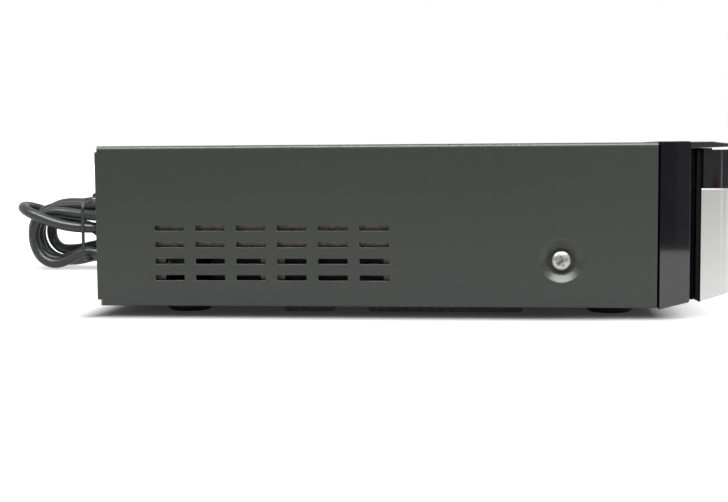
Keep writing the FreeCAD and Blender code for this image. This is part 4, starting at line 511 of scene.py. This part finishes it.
def phonoJacks():
    # Black body, nickel barrels and a coloured ring for each signal
    finish = Finish("phonoJacks")
    barrels = finish.inside(y=(111.5, 125), z=(24, 36))
    rings = finish.inside(y=(112.1, 112.9), z=(24, 36))
    grain = finish.noise(1800, 2)
    colour = finish.mix(grain, (0.016, 0.016, 0.017), (0.024, 0.024, 0.025))
    colour = finish.mix(barrels, colour, finish.mix(grain, (0.55, 0.54, 0.50), (0.72, 0.71, 0.66)))
    for x, tint in jacks["signals"]:
        colour = finish.mix(rings * finish.inside(x=(x - 6, x + 6)), colour, tint)
    core = sum(finish.around((x, jacks["z"]), jacks["core"], "XZ") for x, _ in jacks["signals"])
    colour = finish.mix(core * barrels, colour, (0.72, 0.72, 0.69))
    return finish.set(
        BaseColor=colour,
        Metallic=barrels * (1 - rings) * (1 - core),
        Roughness=grain * 0.15 + 0.25,
        Normal=finish.bump(grain, 0.00003, 0.4),
    )


def aerialCan():
    # Tinned can with nickel barrels; the threads are fine rings along each barrel
    finish = Finish("aerialCan")
    barrels = finish.inside(y=(113.5, 125))
    thread = finish.axes["Y"].wave(0.0008)
    mottle = finish.noise(220, 3)
    return finish.set(
        BaseColor=finish.mix(mottle, (0.48, 0.48, 0.47), (0.68, 0.68, 0.66)),
        Metallic=1.0,
        Roughness=mottle * 0.18 + 0.2,
        Normal=finish.bump(thread * barrels + mottle * 0.1, 0.0002, 0.8),
    )


def sledMetal():
    finish = Finish("sledMetal")
    lens = finish.around((-23, -11), 3.0) * finish.inside(z=(38.7, 50))
    skin = finish.noise(1100, 3)
    metal = finish.mix(skin, (0.36, 0.36, 0.37), (0.55, 0.55, 0.55))
    return finish.set(
        BaseColor=finish.mix(lens, metal, (0.03, 0.04, 0.16)),
        Metallic=1 - lens,
        Roughness=(1 - lens) * (skin * 0.2 + 0.3) + 0.03,
        Normal=finish.bump(skin, 0.00004, 0.5),
    )


# The x where the plug's blades come out of its body
bladesFrom = -0.1243


def plugPlastic():
    # Vinyl body with nickel blades
    finish = Finish("plugPlastic")
    blades = finish.axes["X"] < bladesFrom
    fine = finish.noise(1700, 2)
    colour = finish.mix(fine, (0.020, 0.022, 0.022), (0.032, 0.034, 0.034))
    nickel = finish.mix(fine, (0.62, 0.60, 0.55), (0.78, 0.76, 0.70))
    return finish.set(
        BaseColor=finish.mix(blades, colour, nickel),
        Metallic=blades,
        Roughness=fine * 0.16 + 0.30,
        Normal=finish.bump(fine, 0.00003, 0.5),
    )


finishes = {
    "paint": grainedPaint(),
    "steel": sheetSteel("sheetSteel", (0.34, 0.335, 0.32), (0.58, 0.575, 0.56), 0.28),
    "innerSteel": chassisSteel(),
    # The hard disk's base and cover are made near black
    "coated": mouldedPlastic(
        "blackCoating", (0.010, 0.010, 0.011), (0.018, 0.018, 0.019), 0.55, 1600, 0.00002
    ),
    "frameBlack": mouldedPlastic(
        "frameBlack", (0.002, 0.002, 0.0023), (0.005, 0.005, 0.0053), 0.8, 1800, 0.00002, 0.08
    ),
    "gloss": glossBlack(),
    "lip": lipGloss(),
    "matt": mouldedPlastic("mattBlack", (0.014, 0.014, 0.015), (0.024, 0.024, 0.025), 0.5),
    "silver": silverPaint(),
    "smoked": smokedPlastic(),
    "rubber": mouldedPlastic(
        "rubber", (0.016, 0.016, 0.016), (0.028, 0.028, 0.027), 0.72, 1200, 0.00006
    ),
    "acetal": mouldedPlastic(
        "acetal", (0.66, 0.65, 0.60), (0.76, 0.75, 0.71), 0.38, 800, 0.00001
    ),
    "cast": castMetal(),
    "vinyl": vinyl(),
    "plated": platedSteel(),
    "screwHead": screwHead(),
    "tieVinyl": mouldedPlastic(
        "tieVinyl", (0.012, 0.013, 0.013), (0.022, 0.023, 0.023), 0.42, 900, 0.00002
    ),
    "mirror": mirror(),
    "mainBoard": wiredBoard("mainBoard", mainBoardParts),
    "powerBoard": wiredBoard("powerBoard", powerBoardParts),
    "smallBoard": wiredBoard("smallBoard", frontSocketParts),
    "plainBoard": wiredBoard("plainBoard", noParts),
    "display": wiredBoard("display", displayParts),
    "jacks": phonoJacks(),
    "aerial": aerialCan(),
    "sled": sledMetal(),
    "plug": plugPlastic(),
}

dressing = {
    "paint": ["top_cover"],
    "steel": ["rear_panel", "hdmi_socket", "drive_cover", "loading_motor", "spindle_motor", "sled_motor"],
    "coated": ["hard_disk_base", "hard_disk_cover"],
    "frameBlack": ["fascia_frame"],
    "innerSteel": ["chassis_base", "drive_bracket"],
    "gloss": ["front_bezel"],
    "lip": ["top_lip"],
    "matt": [
        "control_panel", "stop_button", "play_button", "record_button", "channel_button",
        "drive_chassis", "disc_tray", "traverse_frame", "turntable",
        "fan_frame", "fan_rotor", "lan_socket", "ac_inlet",
    ],
    "silver": ["fascia_shell", "power_button", "eject_button", "control_flap", "tray_lid"],
    "smoked": ["smoked_window"],
    "rubber": ["feet", "drive_belt"],
    "acetal": ["loading_gear", "pulley_gear", "motor_pulley", "clamper"],
    "cast": ["hard_disk_actuator"],
    "plated": ["guide_rods", "lead_screw"],
    "mirror": ["hard_disk_platters"],
    "mainBoard": ["main_board"],
    "powerBoard": ["power_board"],
    "smallBoard": ["control_board"],
    "plainBoard": ["power_switch_board"],
    "display": ["display_module"],
    "jacks": ["av_jacks"],
    "aerial": ["tuner"],
    "sled": ["pickup_sled"],
    "plug": ["mains_plug"],
    "vinyl": ["cord_connector"],
}


def dress(mesh, finish):
    mesh.materials.clear()
    mesh.materials.append(finishes[finish].material)


for finish, names in dressing.items():
    for name in names:
        dress(nodes[name].data, finish)
print("finishes made")


def placed(name, data):
    # A new object at the origin
    piece = bpy.data.objects.new(name, data)
    bpy.context.scene.collection.objects.link(piece)
    return piece


def keep(name, mesh, finish):
    # A finished piece that rides on the case
    piece = placed(name, mesh)
    dress(mesh, finish)
    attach(piece, "case")
    return piece


def circle(radius, steps):
    turns = [2 * math.pi * index / steps for index in range(steps)]
    return [(radius * math.cos(turn), radius * math.sin(turn)) for turn in turns]


def bridge(shape, ring, following):
    # Faces between two rings of as many corners
    for index in range(len(ring)):
        other = (index + 1) % len(ring)
        shape.faces.new((ring[index], ring[other], following[other], following[index]))


def lathed(profile, steps):
    # A closed solid turned round z from (radius, height) points
    shape = bmesh.new()
    rings = []
    for radius, height in profile:
        places = circle(radius, steps) if radius else [(0, 0)]
        rings.append([shape.verts.new((x, y, height)) for x, y in places])
    for low, high in zip(rings, rings[1:]):
        for index in range(steps):
            other = index + 1
            corners = [low[index % len(low)], low[other % len(low)]]
            corners += [high[other % len(high)], high[index % len(high)]]
            shape.faces.new(list(dict.fromkeys(corners)))
    bmesh.ops.recalc_face_normals(shape, faces=shape.faces)
    return shape


def boxed(low, high):
    # A closed box
    shape = bmesh.new()
    middle = (Vector(low) + Vector(high)) / 2
    spans = Vector(high) - Vector(low)
    for vert in bmesh.ops.create_cube(shape, size=1)["verts"]:
        vert.co = middle + Vector([part * span for part, span in zip(vert.co, spans)])
    return shape


def toMesh(shape, name):
    mesh = bpy.data.meshes.new(name)
    shape.to_mesh(mesh)
    shape.free()
    return mesh


def settled(piece, name):
    # The piece with its modifiers worked in, as a plain mesh
    seen = piece.evaluated_get(bpy.context.evaluated_depsgraph_get())
    mesh = bpy.data.meshes.new_from_object(seen)
    mesh.name = name
    bpy.data.objects.remove(piece)
    return mesh


class Tree(Graph):
    # A geometry tree with named inputs
    def __init__(self, name, **sizes):
        super().__init__(bpy.data.node_groups.new(name, "GeometryNodeTree"))
        face = self.tree.interface
        face.new_socket("Geometry", in_out="INPUT", socket_type="NodeSocketGeometry")
        face.new_socket("Geometry", in_out="OUTPUT", socket_type="NodeSocketGeometry")
        for size, value in sizes.items():
            kind = "NodeSocketInt" if isinstance(value, int) else "NodeSocketFloat"
            face.new_socket(size, in_out="INPUT", socket_type=kind)
        self.sizes = sizes
        self.given = self.node("NodeGroupInput")

    def finish(self, geometry, material):
        real = self.node("GeometryNodeRealizeInstances", values={"Geometry": geometry})["Geometry"]
        values = {"Geometry": real, "Material": finishes[material].material}
        coloured = self.node("GeometryNodeSetMaterial", values=values)["Geometry"]
        self.node("NodeGroupOutput", values={"Geometry": coloured})

    def applied(self, mesh, name):
        piece = placed(name, mesh)
        modifier = piece.modifiers.new("nodes", "NODES")
        modifier.node_group = self.tree
        for item in self.tree.interface.items_tree:
            if item.in_out == "INPUT" and item.name in self.sizes:
                modifier[item.identifier] = self.sizes[item.name]
        return settled(piece, name)


# Cross-recess screws: one turned head and threaded shank, set at every screw's seat
sideScrew = {
    "head": 0.0035, "rise": 0.0021, "shank": 0.0019,
    "length": 0.0048, "recess": 0.0040, "finish": "screwHead",
}
smallScrew = {
    "head": 0.0026, "rise": 0.0013, "shank": 0.0012,
    "length": 0.0046, "recess": 0.0028, "finish": "plated",
}
# Root is a share of the shank, rim and slotFloor of the head's rise, and slot of the recess
screwForm = {
    "pitch": 0.0008,
    "root": 0.82,
    "rim": 0.45,
    "domeTurns": (0, 0.25, 0.5, 0.75, 1.0, 1.25, 1.42),
    "slot": 0.13,
    "slotFloor": 0.30,
    "steps": 32,
    "spin": 0.35,
}


def screwMesh(size):
    head, rise, shank, length = size["head"], size["rise"], size["shank"], size["length"]
    rim, pitch = screwForm["rim"], screwForm["pitch"]
    root = shank * screwForm["root"]
    profile = [(0, -length), (shank * 0.5, -length)]
    for turn in range(int(length / pitch) - 1):
        z = -length + pitch * (turn + 1)
        profile += [(root, z), (shank, z + pitch * 0.45), (root, z + pitch * 0.9)]
    profile += [(root, 0), (head * 0.97, 0), (head, rise * 0.08)]
    for turn in screwForm["domeTurns"]:
        profile.append((head * math.cos(turn), rise * (rim + (1 - rim) * math.sin(turn))))
    profile.append((0, rise))
    piece = placed("turned", toMesh(lathed(profile, screwForm["steps"]), "turned"))
    wide, thin = size["recess"] / 2, size["recess"] * screwForm["slot"]
    low, high = rise * screwForm["slotFloor"], rise * 1.5
    cutters = []
    for x, y in ((wide, thin), (thin, wide)):
        cutter = placed("bar", toMesh(boxed((-x, -y, low), (x, y, high)), "bar"))
        cut = piece.modifiers.new("recess", "BOOLEAN")
        cut.operation = "DIFFERENCE"
        cut.solver = "EXACT"
        cut.object = cutter
        cutters.append(cutter)
    mesh = settled(piece, "screw")
    for cutter in cutters:
        bpy.data.objects.remove(cutter)
    return mesh


def setScrews(name, size, seats):
    # Seats are (place, direction) pairs; the tree turns a screw to each direction
    mesh = bpy.data.meshes.new(name)
    mesh.from_pydata([place for place, _ in seats], [], [])
    facing = mesh.attributes.new("facing", "FLOAT_VECTOR", "POINT")
    for item, (_, direction) in zip(facing.data, seats):
        item.vector = direction
    template = placed("template", screwMesh(size))
    tree = Tree(name, Spin=screwForm["spin"], Size=1.0)
    shape = tree.node(
        "GeometryNodeObjectInfo", {"transform_space": "ORIGINAL"}, {"Object": template}
    )["Geometry"]
    aim = tree.node(
        "GeometryNodeInputNamedAttribute", {"data_type": "FLOAT_VECTOR"}, {"Name": "facing"}
    )["Attribute"]
    turned = tree.node("FunctionNodeAlignRotationToVector", {"axis": "Z"}, {"Vector": aim})["Rotation"]
    values = {
        "Points": tree.given["Geometry"], "Instance": shape,
        "Rotation": turned, "Scale": tree.given["Size"],
    }
    heads = tree.node("GeometryNodeInstanceOnPoints", values=values)["Instances"]
    spin = tree.node("ShaderNodeCombineXYZ", values={"Z": tree.given["Spin"]})["Vector"]
    values = {"Instances": heads, "Rotation": spin}
    tree.finish(tree.node("GeometryNodeRotateInstances", values=values)["Instances"], size["finish"])
    made = tree.applied(mesh, name)
    bpy.data.objects.remove(template)
    return keep(name, made, size["finish"])


sideSeats = [((side * 0.2126, -0.0607, 0.021), (side, 0, 0)) for side in (-1, 1)]
rearSeats = [((x, 0.113, 0.0585), (0, 1, 0)) for x in (-0.150, 0.0, 0.150)]
rearSeats += [((x, 0.1122, z), (0, 1, 0)) for x in (0.089, 0.121) for z in (0.019, 0.051)]
mainBoardHoles = [(x, y) for x in (-0.085, 0.039) for y in (-0.059, 0.0884)]
powerBoardHoles = [(x, y) for x in (0.071, 0.201) for y in (-0.050, 0.0844)]
boardSeats = [((x, y, boardTop / 1000), (0, 0, 1)) for x, y in mainBoardHoles + powerBoardHoles]
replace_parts(setScrews("sideScrews", sideScrew, sideSeats), "cover_side_screws")
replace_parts(setScrews("rearScrewSet", smallScrew, rearSeats), "rear_screws")
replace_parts(setScrews("boardScrewSet", smallScrew, boardSeats), "board_screws")
print("screws set")


rearY = 0.113
cord = {
    "diameter": 0.0055,
    "length": 1.40,
    "hankX": -0.008,
    "pitch": 0.0061,
    "nearY": rearY + 0.0344,
    "turnEnd": 0.004,
    "turnReach": 1.0824,
    "straight": 0.014,
    "inner": 0.00825,
    "centreZ": 0.0172,
}
leadIn = [
    (0.165, 0.1555, 0.0201),
    (0.165, rearY + 0.064, 0.0201),
    (0.160, rearY + 0.084, 0.012),
    (0.146, rearY + 0.099, 0.00435),
    (0.125, rearY + 0.103, 0.00285),
    (0.105, rearY + 0.096, 0.00285),
    (0.090, rearY + 0.080, 0.00285),
    (0.072, rearY + 0.054, 0.00285),
    (0.054, rearY + 0.027, 0.00285),
    (0.0345, rearY + 0.0095, 0.00325),
    (0.013, rearY + 0.008, 0.00485),
    (-0.0019, rearY + 0.023, 0.00895),
]
leadOut = [
    (-0.0324, rearY + 0.0245, 0.0285),
    (-0.043, rearY + 0.013, 0.022),
    (-0.060, rearY + 0.011, 0.0125),
    (-0.076, rearY + 0.014, 0.0086),
    (-0.086, rearY + 0.014, 0.0086),
]

# Each far turn of the loose hank in millimetres, from its bottom run to its top run
farTurns = [
    [
        (-3.2, 171, 12.2), (-4.4, 179, 11.6), (-3.6, 186, 9.8), (-2.4, 192.6, 9), (-0.4, 200.4, 9),
        (2.2, 206, 14.7), (2.2, 206, 22.5), (-0.4, 200.4, 28.2), (-2.6, 192.4, 28.2),
        (-4.6, 184, 27.8), (-6.4, 172, 28.3),
    ],
    [
        (-6.8, 171, 6.4), (-6.4, 180, 5.6), (-3.8, 189, 3.3), (-2.3, 198, 2.9), (-2.3, 206.2, 6.2),
        (-2.3, 210.6, 13.6), (-2.3, 210.8, 22.4), (-2.3, 206, 30.4), (-3, 197.5, 34.4),
        (-5.2, 186, 34.4), (-8.8, 174, 33.8),
    ],
    [
        (-14.1, 171, 5.8), (-14.1, 180, 6.8), (-14.1, 188.5, 4.6), (-14.1, 197, 3.4),
        (-14.1, 204.4, 7.2), (-14.1, 207.8, 14.6), (-14.1, 207.6, 22.6), (-14.1, 202.6, 28.8),
        (-14.1, 194, 30.6), (-14.1, 184, 29.2), (-14.1, 173, 28.6),
    ],
    [
        (-12.8, 169, 14), (-10.2, 177.5, 21.2), (-8.3, 187, 23.4), (-8.3, 196.5, 26.4),
        (-8.3, 206.3, 30.6), (-15.3, 212.4, 33.2), (-25.5, 212.4, 33.2), (-32.5, 206.3, 30.6),
        (-32.5, 196.5, 26.4), (-31.8, 186, 23.3), (-29.2, 176, 22.3), (-23.6, 168, 22.3),
    ],
    [
        (-20.2, 171, 7.4), (-20.2, 180, 8), (-20.2, 188.5, 5.6), (-20.2, 197, 4.6),
        (-20.2, 204.6, 8.6), (-20.2, 208.4, 16.2), (-20.2, 208, 24.4), (-20.2, 202.6, 30.8),
        (-20.2, 194, 33.2), (-21.4, 184, 33.4), (-23.8, 173, 33.6),
    ],
    [
        (-26.3, 171, 9.2), (-26.3, 180, 9.6), (-26.3, 187.5, 5.2), (-26.3, 195, 2.9),
        (-26.3, 201.8, 5.6), (-26.3, 205.6, 12.6), (-26.3, 206.2, 20.4), (-26.3, 203.4, 27.4),
        (-26.3, 196, 31), (-26.6, 186, 30), (-28.4, 174, 28.7),
    ],
]


def hankPoints():
    # Twelve runs, bottom and top in turn; the near half turns are round and the far ones loose
    layers = (-1, 0, 0, 0, 1, 1, 1, 2, 2, 2, 3, 3)
    climbs = (0, 3, 6, 9, 11)
    steps = (0, 0.5, 1, 1.5, 1, 0.5, 0, -0.5, 1, 1.5, 1, 0.5)
    ends = []
    for run, (layer, step) in enumerate(zip(layers, steps)):
        side = -1 if run % 2 == 0 else 1
        layer += 1 if side > 0 and run in climbs else 0
        z = cord["centreZ"] + side * (cord["inner"] + step * cord["pitch"])
        ends.append((cord["hankX"] - layer * cord["pitch"], z))
    turnEnd = cord["nearY"] + cord["turnEnd"]
    straightEnd = cord["nearY"] + cord["straight"]
    points = []
    for turn, places in enumerate(farTurns):
        (x, z), (nextX, nextZ) = ends[2 * turn], ends[2 * turn + 1]
        if turn:
            points.append((x, turnEnd, z))
        points.append((x, straightEnd, z))
        points += [tuple(part / 1000 for part in place) for place in places]
        points.append((nextX, straightEnd, nextZ))
        if turn == len(farTurns) - 1:
            continue
        points.append((nextX, turnEnd, nextZ))
        lowX, lowZ = ends[2 * turn + 2]
        reach = (nextZ - lowZ) / 2 * cord["turnReach"]
        for angle in (67.5, 22.5, -22.5, -67.5):
            share = (90 - angle) / 180
            y = cord["nearY"] - reach * math.cos(math.radians(angle))
            rise = reach * math.sin(math.radians(angle))
            points.append((nextX + (lowX - nextX) * share, y, (nextZ + lowZ) / 2 + rise))
    return points


def makeCord():
    points = leadIn + hankPoints() + leadOut
    line = bpy.data.curves.new("mainsLead", "CURVE")
    line.dimensions = "3D"
    line.bevel_depth = cord["diameter"] / 2
    line.bevel_resolution = 5
    line.resolution_u = 8
    line.use_fill_caps = True
    spline = line.splines.new("NURBS")
    spline.points.add(len(points) - 1)
    for point, place in zip(spline.points, points):
        point.co = (*place, 1)
    spline.order_u = 3
    spline.use_endpoint_u = True
    dress(line, "vinyl")
    return placed("mainsLead", line)


mainsLead = makeCord()
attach(mainsLead, "case")
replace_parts(mainsLead, "mains_cord", "cord_hank", "cord_tail")

tie = {
    "y": 0.1764,
    "width": 0.0015,
    "wire": 0.0004,
    "band": 0.0007,
    "low": (-0.0348, 0.0052),
    "high": (-0.0006, 0.0377),
    "corner": 0.006,
    "cornerSteps": 6,
    "twist": 0.0075,
    "twistFrom": 0.004,
    "twistRise": 0.0010,
    "twistSteps": 18,
    "strand": 0.0007,
    "strandSides": 8,
}


def makeTie():
    # A thin wire tie: a flat band with a rib along its middle, its ends twisted together on top
    (x0, z0), (x1, z1) = tie["low"], tie["high"]
    corner = tie["corner"]
    inner = [
        (x1 - corner, z0 + corner), (x1 - corner, z1 - corner),
        (x0 + corner, z1 - corner), (x0 + corner, z0 + corner),
    ]
    half, thick, rib = tie["width"] / 2, tie["band"] / 2, tie["wire"]
    section = [
        (-half, -thick), (-rib, -thick), (0, -rib * 0.5), (rib, -thick), (half, -thick),
        (half, thick), (rib, thick), (0, rib * 1.2), (-rib, thick), (-half, thick),
    ]
    shape = bmesh.new()
    rings = []
    for quarter, (x, z) in enumerate(inner):
        for step in range(tie["cornerSteps"] + 1):
            angle = math.radians(90 * (quarter - 1) + 90 * step / tie["cornerSteps"])
            ring = []
            for along, out in section:
                reach = corner + out
                place = (x + math.cos(angle) * reach, tie["y"] + along, z + math.sin(angle) * reach)
                ring.append(shape.verts.new(place))
            rings.append(ring)
    for ring, following in zip(rings, rings[1:] + rings[:1]):
        bridge(shape, ring, following)
    strand = tie["strand"]
    outline = [Vector((0, *place)) for place in circle(strand, tie["strandSides"])]
    middle = (x0 + x1) / 2 + tie["twistFrom"]
    for start in (0, 180):
        rings = []
        for step in range(tie["twistSteps"] + 1):
            angle = math.radians(start + step * 45)
            x = middle + step / tie["twistSteps"] * tie["twist"]
            y = tie["y"] + strand * math.cos(angle)
            z = z1 + tie["twistRise"] + strand * math.sin(angle)
            rings.append([shape.verts.new(Vector((x, y, z)) + out) for out in outline])
        shape.faces.new(rings[0])
        shape.faces.new(rings[-1])
        for ring, following in zip(rings, rings[1:]):
            bridge(shape, ring, following)
    bmesh.ops.recalc_face_normals(shape, faces=shape.faces)
    return keep("wireTie", toMesh(shape, "wireTie"), "tieVinyl")


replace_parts(makeTie(), "cord_tie")

# Ribs round the two strain reliefs: where each row starts and goes, and its end radii
reliefRibs = {
    "connectorRibs": {
        "start": (0.165, 0.1378, 0.0201), "step": (0, 0.0024, 0), "turn": (math.pi / 2, 0, 0),
        "count": 7, "first": 0.00459, "last": 0.00358,
    },
    "plugRibs": {
        "start": (-0.0982, rearY + 0.014, 0.0086), "step": (0.0022, 0, 0), "turn": (0, math.pi / 2, 0),
        "count": 5, "first": 0.00465, "last": 0.00372,
    },
}
ribThickness = 0.0006


def makeRibs(name, row):
    # Rings on a row of points, each turned to the row's direction and sized along it
    tree = Tree(name, Count=row["count"], First=row["first"], Last=row["last"], Thick=ribThickness)
    values = {"Count": tree.given["Count"], "Start Location": row["start"], "Offset": row["step"]}
    line = tree.node("GeometryNodeMeshLine", {"mode": "OFFSET"}, values)["Mesh"]
    values = {"Resolution": 40, "Radius": 1.0}
    circle = tree.node("GeometryNodeCurvePrimitiveCircle", values=values)["Curve"]
    share = tree.node("GeometryNodeInputIndex")["Index"] / (row["count"] - 1)
    radius = tree.given["First"] + (tree.given["Last"] - tree.given["First"]) * share
    values = {"Points": line, "Instance": circle, "Scale": radius, "Rotation": row["turn"]}
    rings = tree.node("GeometryNodeInstanceOnPoints", values=values)["Instances"]
    rings = tree.node("GeometryNodeRealizeInstances", values={"Geometry": rings})["Geometry"]
    values = {"Resolution": 10, "Radius": tree.given["Thick"]}
    profile = tree.node("GeometryNodeCurvePrimitiveCircle", values=values)["Curve"]
    values = {"Curve": rings, "Profile Curve": profile}
    tree.finish(tree.node("GeometryNodeCurveToMesh", values=values)["Mesh"], "plug")
    mesh = bpy.data.meshes.new(name)
    mesh.from_pydata([(0, 0, 0)], [], [])
    keep(name, tree.applied(mesh, name), "plug")


for name, row in reliefRibs.items():
    makeRibs(name, row)
print("cord laid")


def seenDirectly(graph):
    # 1 for camera, glossy and transmission rays
    path = graph.node("ShaderNodeLightPath")
    return (path["Is Camera Ray"] + path["Is Glossy Ray"] + path["Is Transmission Ray"]).atMost(1)


def shade(finish, result):
    finish.tree.links.new(result.socket, finish.tree.nodes["Material Output"].inputs["Surface"])


floorLook = {
    "side": 6.0,
    "white": (0.94, 0.94, 0.94),
    "grey": (0.92, 0.92, 0.92),
    "nearGlow": 0.56,
    "farGlow": 0.55,
    "edge": -0.0006,
    "spread": 0.013,
    "far": (0.45, 1.2),
    "dim": 0.8,
    "dimFront": 0.25,
    "dimOver": 0.04,
}


def makeFloor():
    # Pale floor with a painted shadow: its colour is painted darker under and just round the cover; it
    # glows up to the background's white away from it
    mesh = bpy.data.meshes.new("floor")
    side = floorLook["side"]
    corners = [(-side, -side, 0), (side, -side, 0), (side, side, 0), (-side, side, 0)]
    mesh.from_pydata(corners, [], [(0, 1, 2, 3)])
    floor = placed("floor", mesh)
    finish = Finish("paleFloor")
    seen = seenDirectly(finish)
    cloud = finish.noise(5, 2)
    (left, front, _), (right, back, _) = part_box("top_cover")
    outX = (finish.axes["X"] - right).atLeast((finish.axes["X"] - left) * -1).atLeast(0)
    outY = (finish.axes["Y"] - back).atLeast((finish.axes["Y"] - front) * -1).atLeast(0)
    away = (outX * outX + outY * outY) ** 0.5
    near = ((away - floorLook["edge"]) / floorLook["spread"]).atLeast(0).atMost(1)
    low, high = floorLook["far"]
    far = ((away - low) / (high - low)).atLeast(0).atMost(1)
    strength = near * floorLook["nearGlow"] + far * floorLook["farGlow"]
    # Painted shadow: the floor's colour is darkened under the cover and just round it, least at the
    # cover's front edge and most from 40 mm behind it
    behindFront = ((finish.axes["Y"] - front) / floorLook["dimOver"]).atLeast(0).atMost(1)
    least = floorLook["dimFront"]
    dim = (1 - near) * (least + (1 - least) * behindFront) * floorLook["dim"]
    pale = finish.mix(cloud, floorLook["grey"], floorLook["white"])
    shadowedColour = finish.mix(dim, pale, (0.0, 0.0, 0.0))
    finish.set(BaseColor=shadowedColour, Roughness=0.9, SpecularIORLevel=0.05)
    plain = Value(finish, finish.shader.outputs[0])
    values = {"Color": (1, 1, 1, 1), "Strength": seen * strength}
    glow = finish.node("ShaderNodeEmission", values=values)["Emission"]
    shade(finish, finish.node("ShaderNodeAddShader", values={0: plain, 1: glow})["Shader"])
    mesh.materials.append(finish.material)


darkRoom = {
    "x": -0.535,
    "panels": ((-1.6, -0.265), (-0.215, 1.6)),
    "high": 0.155,
    "level": 0.8,
    "wall": (0.11, 0.115, 0.145),
    "band": (0.24, 0.22, 0.22),
    "bands": ((-0.156, -0.147), (-0.124, -0.119)),
    "card": ((-0.60, 0.60), (-0.36, 0.80)),
    "cardWide": (-0.60, 0.50),
    "cardLevel": 18.0,
}


def makeDarkRoom():
    # A dim wall with two lighter bands and a bright card behind the camera; they glow and are seen by
    # glossy rays only, so they show only as reflections and highlights on polished surfaces
    x, high = darkRoom["x"], darkRoom["high"]
    corners = []
    faces = []
    for low, far in darkRoom["panels"]:
        start = len(corners)
        corners += [(x, low, 0.0), (x, far, 0.0), (x, far, high), (x, low, high)]
        faces.append(tuple(range(start, start + 4)))
    start = len(corners)
    (outer, low), (inner, top) = darkRoom["card"]
    near, far = darkRoom["cardWide"]
    corners += [(outer, near, low), (outer, far, low), (inner, far, top), (inner, near, top)]
    faces.append(tuple(range(start, start + 4)))
    mesh = bpy.data.meshes.new("darkRoom")
    mesh.from_pydata(corners, [], faces)
    room = placed("darkRoom", mesh)
    finish = Finish("darkRoom")
    lighter = sum(finish.between("Y", low, far) for low, far in darkRoom["bands"])
    colour = finish.mix(lighter, darkRoom["wall"], darkRoom["band"])
    card = finish.axes["Z"] > low - 0.01
    colour = finish.mix(card, colour, (1, 1, 1))
    strength = card * (darkRoom["cardLevel"] - darkRoom["level"]) + darkRoom["level"]
    values = {"Color": colour, "Strength": strength}
    shade(finish, finish.node("ShaderNodeEmission", values=values)["Emission"])
    mesh.materials.append(finish.material)
    room.visible_camera = False
    room.visible_diffuse = False
    room.visible_shadow = False
    room.visible_transmission = False
    room.visible_volume_scatter = False


# The white background's brightness as seen, and as light on the recorder
backdrop = {"seen": 1.0, "light": 0.5}


def makeWorld():
    world = bpy.data.worlds.new("studio")
    bpy.context.scene.world = world
    world.use_nodes = True
    background = world.node_tree.nodes["Background"]
    background.inputs["Color"].default_value = (1, 1, 1, 1)
    share = seenDirectly(Graph(world.node_tree))
    strength = share * (backdrop["seen"] - backdrop["light"]) + backdrop["light"]
    world.node_tree.links.new(strength.socket, background.inputs["Strength"])


lamps = {
    "overhead": {"place": (0.0, 0.0, 1.7), "target": (0, 0, 0), "size": 1.8, "watts": 18},
    "leftSide": {"place": (-1.7, -0.3, 1.1), "target": (-0.2, 0, 0.03), "size": 1.2, "watts": 9},
}


def makeLamp(name, lamp):
    light = bpy.data.lights.new(name, "AREA")
    light.size = lamp["size"]
    light.energy = lamp["watts"]
    holder = placed(name, light)
    away = Vector(lamp["place"]) - Vector(lamp["target"])
    facing = away.to_track_quat("Z", "Y").to_matrix().to_4x4()
    holder.matrix_world = Matrix.Translation(lamp["place"]) @ facing
    holder.visible_glossy = False


view = {
    "place": (-0.688, -0.0352, 0.0617),
    "turn": 5.65,
    "down": 4.45,
    "roll": 0.4,
    "lens": 63.79,
}


def makeCamera():
    turn, down, roll = (math.radians(view[key]) for key in ("turn", "down", "roll"))
    level = math.cos(down)
    forward = Vector((math.cos(turn) * level, math.sin(turn) * level, -math.sin(down)))
    right = Vector((math.sin(turn), -math.cos(turn), 0))
    above = right.cross(forward)
    tilt = Matrix.Rotation(roll, 3, forward)
    right, above = tilt @ right, tilt @ above
    facing = Matrix((right, above, -forward)).transposed().to_4x4()
    data = bpy.data.cameras.new("camera")
    data.lens = view["lens"]
    data.sensor_width = 36
    data.sensor_fit = "HORIZONTAL"
    data.clip_start = 0.01
    camera = placed("camera", data)
    camera.matrix_world = Matrix.Translation(view["place"]) @ facing
    bpy.context.scene.camera = camera


makeFloor()
makeDarkRoom()
makeWorld()
for name, lamp in lamps.items():
    makeLamp(name, lamp)
makeCamera()
bpy.context.scene.view_settings.view_transform = "Standard"
print("stage and camera ready")
